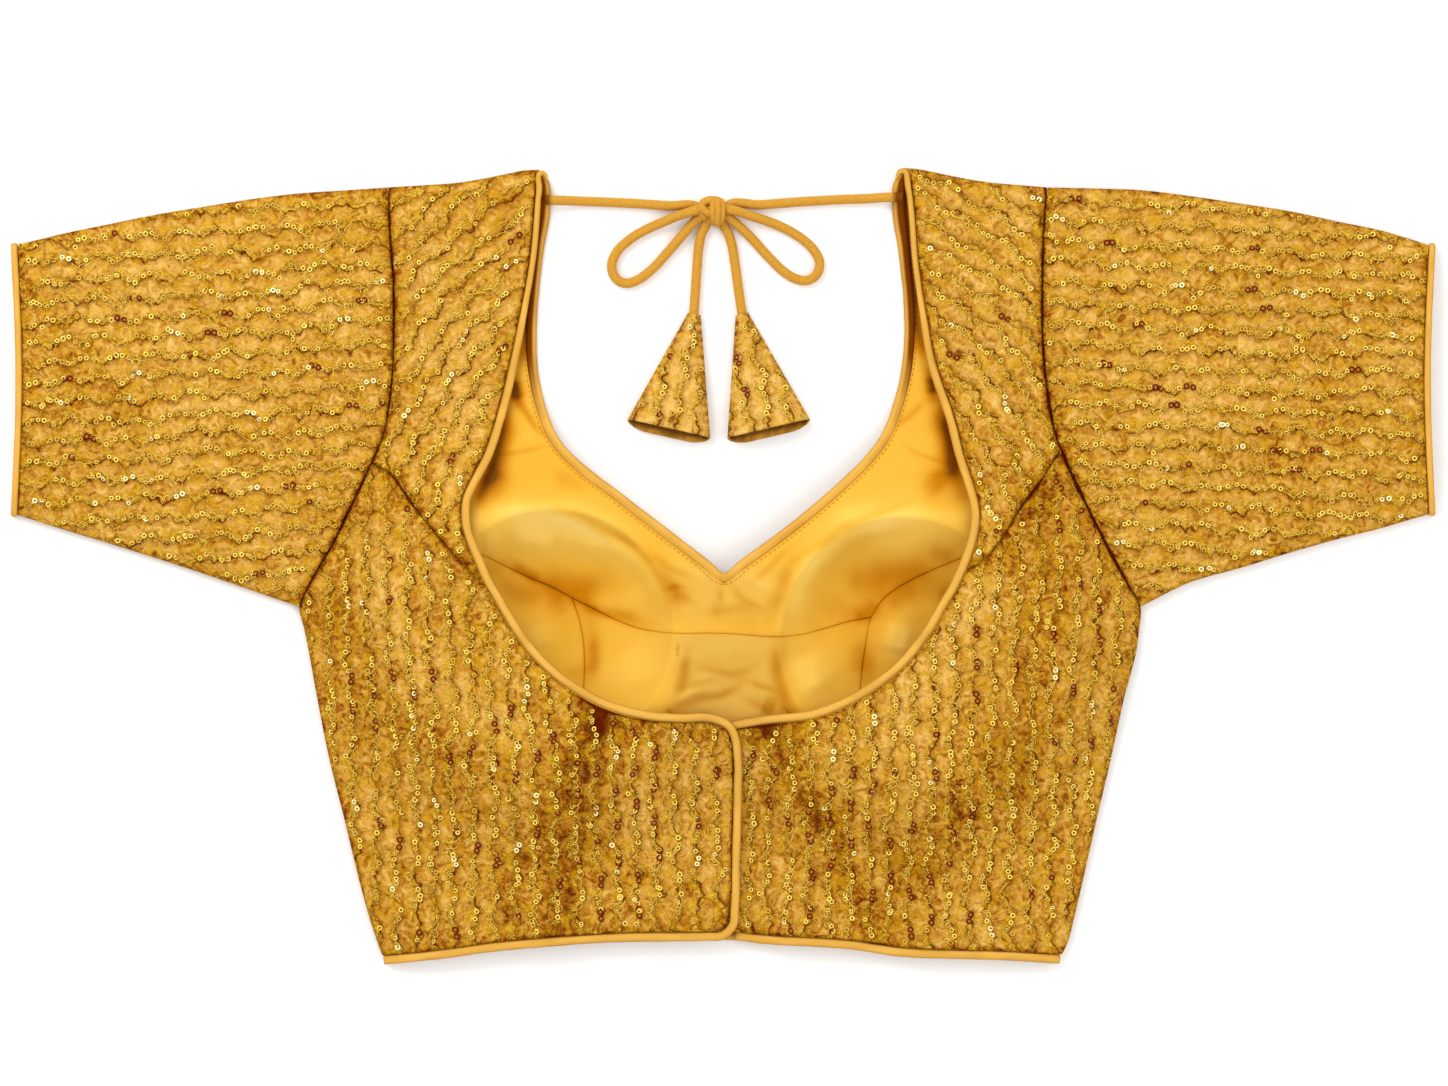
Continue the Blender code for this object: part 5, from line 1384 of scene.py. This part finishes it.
def make_piping():
    """Piping of the neck, centre back and hem."""
    def on_back(x, y):
        over_front = np.where(y > 0, 1.5 * NECK_PIPE_HEIGHT + GAP, 0.0)
        return np.maximum(back_under(x, y) + BACK / 2, over_front)

    def on_right_back(x, y):
        return on_back(x, y) - lap_drop(x)

    def on_front(x, y):
        return front_under(x, y) + NECK_PIPE_HEIGHT / 2

    def on_front_hem(x, y):
        return front_under(x, y) + HEM_PIPE_HEIGHT / 2

    def slimmed(side, rest, height):
        line = curve_through(table_by_y(BACK_NECK, side) + rest, NECK_PITCH)
        slim = STRAP_SLIM * eased((line[:, 1] - SLIM_FROM) / SLIM_OVER)
        line[:, 0] += SIDES[side] * slim / 2
        line = lifted(np.vstack([BACK_TURN[side], line[1:]]), height, 1.2)
        inward = eased((SINK_FROM - np.abs(line[:, 0])) / SINK_OVER)
        line[:, 2] -= SINK * inward * (line[:, 1] > SINK_ABOVE)
        width = PIPE_WIDTH - STRAP_SLIM * eased((line[:, 1] - SLIM_FROM) / SLIM_OVER)
        width[:len(TURN_SHARES)] *= TURN_SHARES
        return line, width

    hem = [(x, y + PIPE_WIDTH / 2) for x, y in table_by_x(HEM[1:], "left")]
    edge, width = slimmed("left", list(LEFT_CENTRE) + hem, on_back)
    pressed = eased((HEM_CORNER + HEM_PRESS - edge[:, 1]) / (2 * HEM_PRESS))
    heights = NECK_PIPE_HEIGHT + (HEM_PIPE_HEIGHT - NECK_PIPE_HEIGHT) * pressed
    make_rib("trim_back_left", edge, width, heights, ["piping_back_left"], pitch=1.2)
    neck, width = slimmed("right", [*RIGHT_CENTRE, (6.0, -82.6)], on_right_back)
    make_rib("trim_neck_right", neck, width, NECK_PIPE_HEIGHT, ["piping_neck_right"], pitch=1.2)
    hem = hem_line("right", TUCKED, HEM_END, PIPE_WIDTH / 2)
    make_rib("trim_hem_right", lifted(hem, on_right_back), PIPE_WIDTH, HEM_PIPE_HEIGHT,
             ["piping_hem_right"])
    front = lifted(offset_line(front_neck_line(), -(PIPE_WIDTH / 2 + FRONT_OFF)), on_front)
    front = front[front[:, 1] < TURN_JOIN]
    front[:, 0] += np.sign(front[:, 0]) * STRAP_WIDE / 2 * eased((front[:, 1] - WIDE_FROM) / WIDE_OVER)
    front = np.vstack([SHOULDER_TURN["left"], front, SHOULDER_TURN["right"][::-1]])
    front = curve_through(front, 2.0)
    turned = eased((front[:, 1] - TURN_FROM) / TURN_OVER)
    strap = eased((front[:, 1] - SHADE_FROM) / SHADE_OVER)
    width = PIPE_WIDTH + FRONT_WIDE + STRAP_WIDE * eased((front[:, 1] - WIDE_FROM) / WIDE_OVER)
    width = width - TURN_SLIM * turned
    # painted shadow: darker on the strap and on its inner side, where the strap above keeps the light
    # off
    make_rib("trim_neck_front", front, width, NECK_PIPE_HEIGHT, ["piping_neck_front"],
             tone=0.54 - 0.08 * strap, hidden=0.14 + 0.86 * strap)
    make_stitches(front)
    lower = np.vstack([
        hem_line("left", HEM_START, HEM_END, PIPE_WIDTH / 2 + FRONT_RISE)[::-1],
        hem_line("right", HEM_START, HEM_END, PIPE_WIDTH / 2 + FRONT_RISE),
    ])
    make_rib("trim_hem_front", lifted(lower, on_front_hem), PIPE_WIDTH, HEM_PIPE_HEIGHT,
             ["piping_hem_front"])


def make_stitches(neck):
    """Small stitches in the lining beside the front neck's piping."""
    heap = Heap()
    line = respace(offset_line(neck[8:-8, :2], -(PIPE_WIDTH / 2 + 1.2)), STITCH_STEP)
    height = lining_over(*line.T) + lining_relief(*line.T) + 0.05
    points = np.column_stack([line, height])
    for first in range(0, len(points) - 1, 2):
        put_tube(heap, points[first:first + 2], STITCH_THICK, 3)
    finished(heap.made("stitches_neck", [STITCH]), "piping_satin")


# ---------------------------------------------------------------- sleeves

def sleeve_edges(side):
    """A sleeve's top fold, underarm fold and armhole line."""
    return (
        curve_through(table_by_x(SLEEVE_TOP, side), SLEEVE_EDGE_PITCH),
        curve_through(table_by_x(SLEEVE_BOTTOM, side), SLEEVE_EDGE_PITCH),
        curve_through(table_by_y(ARMHOLE, side), SLEEVE_EDGE_PITCH)[::-1],
    )


def sleeve_plan(side, edges, share, across):
    """Plan points of the sleeve: share from cuff to armhole, across from underarm to top."""
    sign = SIDES[side]
    top, bottom, arm = edges

    def on(line, t):
        along = np.linspace(0.0, 1.0, len(line))
        return np.stack([np.interp(t, along, line[:, k]) for k in (0, 1)], axis=-1)

    share, across = np.broadcast_arrays(np.asarray(share, float), np.asarray(across, float))
    s, a = share[..., None], across[..., None]
    cuff = bottom[0] * (1 - a) + top[0] * a
    shift = CUFF_REACH[side] - CUFF_BOW * np.sin(math.pi * across) - CUFF_PIPE - GAP
    cuff = cuff + np.stack([sign * shift, np.zeros(shift.shape)], axis=-1)
    arm_end = on(arm, across) + (sign * SLEEVE_SEAM, 0.0)
    low, high = on(bottom, share), on(top, share)
    corners = (
        bottom[0] * (1 - s) * (1 - a) + top[0] * (1 - s) * a
        + bottom[-1] * s * (1 - a) + top[-1] * s * a
    )
    return low * (1 - a) + high * a + cuff * (1 - s) + arm_end * s - corners


FOLD_ROUND = 2.0        # how far in from a sleeve's fold its cloth lies flat
LIFT_UNDER = 0.6        # room for the embroidery beneath the cloth
# The embroidery is plainer there
UNDERSIDE = {"density": 0.35, "thread_step": 0.9, "flip": -1.0, "lean_most": 0.05}


def make_sleeve(side, draw):
    """A sleeve: a tube of embroidered cloth folded flat, open at the cuff and the armhole."""
    edges = sleeve_edges(side)
    stations, over_count, under_count, arc = 165, 115, 34, 6
    lengthwise, crosswise = np.linspace(0, 1, 60), np.linspace(0, 1, 45)
    outline = np.vstack([
        sleeve_plan(side, edges, lengthwise[:-1], 0.0),
        sleeve_plan(side, edges, 1.0, crosswise[:-1]),
        sleeve_plan(side, edges, lengthwise[:0:-1], 1.0),
        sleeve_plan(side, edges, 0.0, crosswise[:0:-1]),
    ])
    name = "sleeve_" + side
    cloth = Cloth(ROWS[name], back_over, outline, side=-1, inner_edge=1.0)
    share = np.linspace(0.0, 1.0, stations)
    span = sleeve_plan(side, edges, share, 1.0) - sleeve_plan(side, edges, share, 0.0)
    width = np.linalg.norm(span, axis=1)

    def ring(stations_share, stations_width, inset, top_count, low_count):
        margin = (FOLD_ROUND / stations_width)[:, None]
        low = margin + (1 - 2 * margin) * np.linspace(0, 1, low_count)[None]
        high = margin + (1 - 2 * margin) * np.linspace(1, 0, top_count)[None]
        angles = np.linspace(-math.pi / 2, math.pi / 2, arc + 2)[1:-1]
        swing = margin * (1 - inset / FOLD_ROUND) * np.cos(angles)[None]
        out_top = 1 - margin + swing
        out_low = margin - swing[:, ::-1]
        across = np.concatenate([low, out_top, high, out_low], axis=1)
        places = sleeve_plan(side, edges, stations_share[:, None] + 0 * across, across)
        x, y = places[..., 0], places[..., 1]
        top = (cloth.over if inset == 0 else cloth.base)(x.ravel(), y.ravel()).reshape(x.shape) - inset
        z = np.full(x.shape, LIFT_UNDER + inset)
        first, second, third = low_count, low_count + arc, low_count + arc + top_count
        z[:, second:third] = top[:, second:third]
        rise = (0.5 + 0.5 * np.sin(angles))[None]
        z[:, first:second] += (top[:, second:second + 1] - z[:, first:second]) * rise
        z[:, third:] += (top[:, third - 1:third] - z[:, third:]) * rise[:, ::-1]
        return np.stack([x, y, z], axis=-1)

    outer = ring(share, width, 0.0, over_count, under_count)
    pick = np.linspace(0, stations - 1, 12).astype(int)
    inner = ring(share[pick], width[pick], BACK, over_count, under_count)
    around = outer.shape[1]
    points = np.vstack([outer.reshape(-1, 3), inner.reshape(-1, 3)])
    start = stations * around
    faces = []
    for station in range(stations - 1):
        quads = ring_quads(station * around, (station + 1) * around, around)
        faces += [(a, d, c, b) for a, b, c, d in quads]
    for station in range(len(pick) - 1):
        here = start + station * around
        faces += [(b, c, d, a) for a, b, c, d in ring_quads(here, here + around, around)]
    faces += ring_quads(0, start, around)
    ends = (stations - 1) * around, start + (len(pick) - 1) * around
    faces += [quad[::-1] for quad in ring_quads(*ends, around)]
    slots = [0] * ends[0] + [1] * (ends[1] - start) + [0] * (2 * around)
    if side == "right":
        faces = [face[::-1] for face in faces]
    x, y = points[:, :2].T
    made = make_object("cloth_" + name, points, faces, [NET, INNER], slots, cloth.tone(x, y),
                       cloth.lanes(x, y))
    finished(made, "sequin_cloth", name)
    embroidery("embroidery_" + name, cloth, 0.10, draw)
    embroidery("embroidery_under_" + name, cloth, 0.07, draw,
               height=lambda x, y: np.full(np.shape(x), LIFT_UNDER), **UNDERSIDE)


def make_cuff(side):
    """Piping round the cuff."""
    sign = SIDES[side]
    edges = sleeve_edges(side)
    half = CUFF_PIPE_HEIGHT / 2
    across = (1 - np.cos(np.linspace(0.0, math.pi, 70))) / 2
    path = []
    for layer in ("under", "over"):
        for a in (across if layer == "under" else across[::-1]):
            x, y = sleeve_plan(side, edges, 0.0, a)
            level = half if layer == "under" else float(back_over(x, y)) - BACK / 2
            path.append((x + sign * (CUFF_PIPE / 2 + GAP), y, level))
    path = np.array(path)
    loop = np.vstack([path, path[:1]])
    keep = np.concatenate([[True], steps_of(loop)[:-1] > 0.2])
    path = respace(np.vstack([path[keep], path[:1]]), 2.0)[:-1]
    make_rib("trim_cuff_" + side, path, CUFF_PIPE, CUFF_PIPE_HEIGHT, ["piping_cuff_" + side],
             closed=True, across=(1, 0, 0))


# ---------------------------------------------------------------- panels

TOP_PITCH, UNDER_PITCH = 1.3, 7.0


def make_back_panel(name, under, over, brown, draw):
    """One embroidered panel of the upper layer."""
    outline = node_outline(name, TOP_PITCH)
    back = name.startswith("back")
    cloth = Cloth(ROWS[name], over, outline, side=1 if back else -1, light=0.525 if back else 0.6)
    made = wall("cloth_" + name, outline, under, cloth.over, TOP_PITCH, UNDER_PITCH, [NET, INNER],
                cloth.tone, cloth.lanes)
    finished(made, "sequin_cloth", name)
    embroidery("embroidery_" + name, cloth, brown, draw)


def make_front_panel(name, draw):
    """One panel of the front, seen from beneath, with its embroidery."""
    node = "front_" + name
    outline = node_outline(node, 3.0)
    cloth = Cloth(ROWS["front"], front_over, outline, strength=0.35)

    def lower(x, y):
        return front_under(x, y) + LIFT_UNDER

    made = wall("cloth_" + node, outline, lower, front_over, 9.0, 3.2, [INNER, NET], cloth.tone,
                cloth.lanes)
    finished(made, "sequin_cloth", node)
    embroidery("embroidery_" + node, cloth, 0.2, draw, height=lower, **UNDERSIDE)


def make_lining_panel(name):
    """One panel of the satin lining."""
    node = "lining_" + name
    outline = grown(node_outline(node, 1.6), 0.15)

    def over(x, y):
        inside = edge_distance(x, y, outline, 1)
        return lining_over(x, y) + lining_relief(x, y) - 0.15 * np.exp(-inside / 0.5)

    def tone(x, y):
        return lining_tone(x, y) - 0.22 * np.exp(-edge_distance(x, y, outline, 1) / 0.4)

    made = wall("satin_" + node, outline, lining_under, over, 1.6, 9.0, [SATIN, SATIN], tone,
                rim=0.6, dull=lining_dull)
    finished(made, "lining_satin", node)


def stroke(x, y, width, points):
    """1 on a line, falling off beside it over a width and fading towards its ends."""
    line = np.array(points, float)
    across, along = beside_rows(x, y, line)
    length = steps_of(line).sum()
    end = np.minimum(along, length - along) / length
    return bell(away(x, y, line), width) * (0.35 + 0.65 * eased(end / 0.3))


def lining_relief(x, y):
    """Soft ridges and creases of the lining, where its painted highlights and shade lie."""
    total = 0.0
    for tone, width, points in LINING_SHADES:
        total = total + (6.0 if tone > 0 else 1.6) * tone * stroke(x, y, width, points)
    return np.clip(total, -0.7, 2.2) + 0.25 * mottle(x, y, 14.0, 31)


def lining_tone(x, y):
    """How light the lining is, with its painted highlights and shade."""
    tone = 0.535 + mottled(x, y, (0.03, 30, 33), (0.02, 9, 34))
    shift_x, shift_y = 1.2 * mottle(x, y, 16.0, 35), 1.2 * mottle(x, y, 16.0, 36)
    for share, width, points in LINING_SHADES:
        tone = tone + 0.6 * share * stroke(x + shift_x, y + shift_y, width, points)
    return np.clip(tone, 0.0, 1.0)


BAND_MIDDLE, BAND_HALF, BAND_TOP, BAND_SOFT = 3.5, 30, -33, 4
GORE_MIDDLE, GORE_SIZE, GORE_DULL = (2, -14), (34, 16), 0.7     # the cloth between the cups
CUP_DULL, CUP_DULL_LOW, CUP_DULL_SOFT = 0.2, -8, 16     # on the cups, above a height in plan


def lining_dull(x, y):
    """How dull the lining is: on the band below the bust, between the cups and a little on them."""
    dull = np.exp(-(((x - BAND_MIDDLE) / BAND_HALF) ** 6)) * eased((BAND_TOP - y) / BAND_SOFT)
    for side in SIDES:
        on_cup = eased((2.0 - cup_place(x, y, side)[1]) / 10.0)
        dull = dull + CUP_DULL * on_cup * eased((y - CUP_DULL_LOW) / CUP_DULL_SOFT)
    aside, up = ((p - m) / size for p, m, size in zip((x, y), GORE_MIDDLE, GORE_SIZE))
    return dull + GORE_DULL * np.exp(-(aside**4) - up**4)


# ---------------------------------------------------------------- cones

def cone_frame(side):
    """A cone's top and mouth in plan, and the directions along and across it."""
    top, mouth = np.array(CONE_TOP[side]), np.array(CONE_MOUTH[side])
    axis = (mouth - top) / np.linalg.norm(mouth - top)
    return top, mouth, axis, np.array([-axis[1], axis[0]])


def cone_points(side, shares, inset, around):
    """Loops of a cone: flat beneath, rounded over, lips apart at the mouth."""
    top, mouth, axis, across = cone_frame(side)
    loops = []
    for share in shares:
        half = CONE_TOP_HALF + (CONE_MOUTH_HALF - CONE_TOP_HALF) * share - inset
        height = CONE_TOP_HEIGHT + (CONE_MOUTH_HEIGHT - CONE_TOP_HEIGHT) * share
        for k in range(around):
            angle = 2 * math.pi * (k + 0.5) / around
            wide = math.copysign(abs(math.cos(angle)) ** CONE_SQUARE, math.cos(angle))
            rise = max(-1.0, math.sin(angle) * (1.0 if math.sin(angle) > 0 else CONE_FLAT))
            level = height * CONE_BELLY + height * (1 - CONE_BELLY if rise > 0 else CONE_BELLY) * rise
            level = inset + level * (height - 2 * inset) / height
            reach = -(LIP_OVER if rise > 0 else LIP_UNDER) * rise * share**3
            place = top + (mouth - top) * share + axis * reach + across * half * wide
            loops.append((place[0], place[1], level))
    return np.array(loops)


def cone_over(side):
    """The height of a cone's upper face over the plan."""
    top, mouth, axis, _ = cone_frame(side)
    length = np.linalg.norm(mouth - top)

    def over(x, y):
        forward = (x - top[0]) * axis[0] + (y - top[1]) * axis[1]
        wide = np.abs((y - top[1]) * axis[0] - (x - top[0]) * axis[1])
        share = np.clip(forward / length, 0.0, 1.0)
        for _ in range(4):
            half = CONE_TOP_HALF + (CONE_MOUTH_HALF - CONE_TOP_HALF) * share
            rise = np.sqrt(1 - np.clip(wide / half, 0.0, 1.0) ** (2 / CONE_SQUARE))
            share = np.clip((forward + LIP_OVER * rise * share**3) / length, 0.0, 1.0)
        height = CONE_TOP_HEIGHT + (CONE_MOUTH_HEIGHT - CONE_TOP_HEIGHT) * share
        return height * (CONE_BELLY + (1 - CONE_BELLY) * rise) + cone_pucker(x, y)

    return over


def cone_pucker(x, y):
    """Rise and fall of a cone's cloth."""
    return mottled(x, y, (0.6, 6, 41), (0.35, 3, 42))


def make_cone(side, draw):
    """A hollow cone of embroidered cloth, open at the wide end."""
    around, stations, within = 72, 44, 14
    outer = cone_points(side, np.linspace(-0.035, 1.0, stations), 0.0, around)
    inner = cone_points(side, 1 - 0.94 * np.linspace(1.0, 0.0, within) ** 2, CONE_WALL, around)
    upper = np.tile(np.arange(around) < around / 2, stations)
    outer[:, 2] += cone_pucker(*outer[:, :2].T) * upper
    loops = np.vstack([outer, inner[::-1].reshape(within, around, 3)[:, ::-1].reshape(-1, 3)])
    slots = [0] * (stations * around) + [1] * ((within - 1) * around) + [0, 1]

    top, mouth, axis, across = cone_frame(side)
    wide, cloth_end = across * CONE_MOUTH_HALF, mouth - 3.0 * axis
    corners = [top + across * CONE_TOP_HALF, top - across * CONE_TOP_HALF,
               cloth_end - wide, cloth_end + wide]
    if np.cross(corners[1] - corners[0], corners[2] - corners[1]) < 0:
        corners.reverse()
    outline = respace(np.array([*corners, corners[0]]), 3.0)[:-1]
    rows = np.array([top - 30.0 * axis + 2.0 * across, mouth + 30.0 * axis + 2.0 * across])
    cloth = Cloth(rows, cone_over(side), outline)
    x, y = loops[:, :2].T
    edge = np.minimum(away(x, y, corners[1:3]), away(x, y, [corners[3], corners[0]]))
    dashes = 0.5 + 0.5 * np.sin(1.5 * y + 2.0 * mottle(x, y, 9.0, 44))
    seen = 0.84 + 0.14 * mottle(x, y, 5.0, 43) - 0.9 * np.exp(-edge / 2.2) * dashes
    from_lip = away(x, y, outer.reshape(stations, around, 3)[-1, 2:around // 2 - 2])
    # a painted highlight along the rolled upper lip
    seen = seen + 0.3 * bell(from_lip - 0.8, 0.9)
    # inside the mouth: random flecks, with a painted shadow under the upper lip
    flecked = 0.45 + 0.3 * mottle(x, y, 2.2, 45)
    hidden = flecked * (1 - bell(from_lip, 2.2))
    tones = np.where(np.arange(len(loops)) < len(outer), seen, hidden)
    made = make_object("cloth_latkan_" + side, loops, tube_faces(stations + within, around),
                       [NET, INNER], slots, tones, cloth.lanes(x, y))
    finished(made, "sequin_cloth", "latkan_" + side)
    embroidery("embroidery_latkan_" + side, cloth, 0.1, draw, margin=2.0, density=0.8,
               height=cone_over(side), stray=3.4)
    return made


# ---------------------------------------------------------------- the blouse

def main():
    """Build the camera, the cords and then the rest."""
    make_camera()
    make_stage()
    knot = make_knot()
    draw = random.Random(7)
    for side in SIDES:
        cone = make_cone(side, draw)
        route = list(TIE[side]) + list(UNDER_KNOT[side]) + list(TAIL[side])
        dori, length = make_cord("dori_" + side, route, ["dori_tie_" + side, "bow_tail_" + side])
        [c * MM for c in route[0]]
        loop, length = make_cord("loop_" + side, LOOP[side], ["bow_loop_" + side])
    make_piping()
    make_back_panel("back_left", back_under, back_over, 0.22, draw)
    make_back_panel("back_right", right_back_under, right_back_over, 0.22, draw)
    make_back_panel("yoke_left", back_under, back_over, 0.05, draw)
    make_back_panel("yoke_right", back_under, back_over, 0.05, draw)
    for side in SIDES:
        make_sleeve(side, draw)
        make_cuff(side)
    for name, flat in (("upper", (0.40, 0.25)), ("side_left", (0.16, 0.25)),
                       ("side_right", (0.16, 0.25)), ("band", (0.17, 0.18))):
        make_front_panel(name, draw)
        make_lining_panel(name)


main()
bpy.context.view_layer.update()
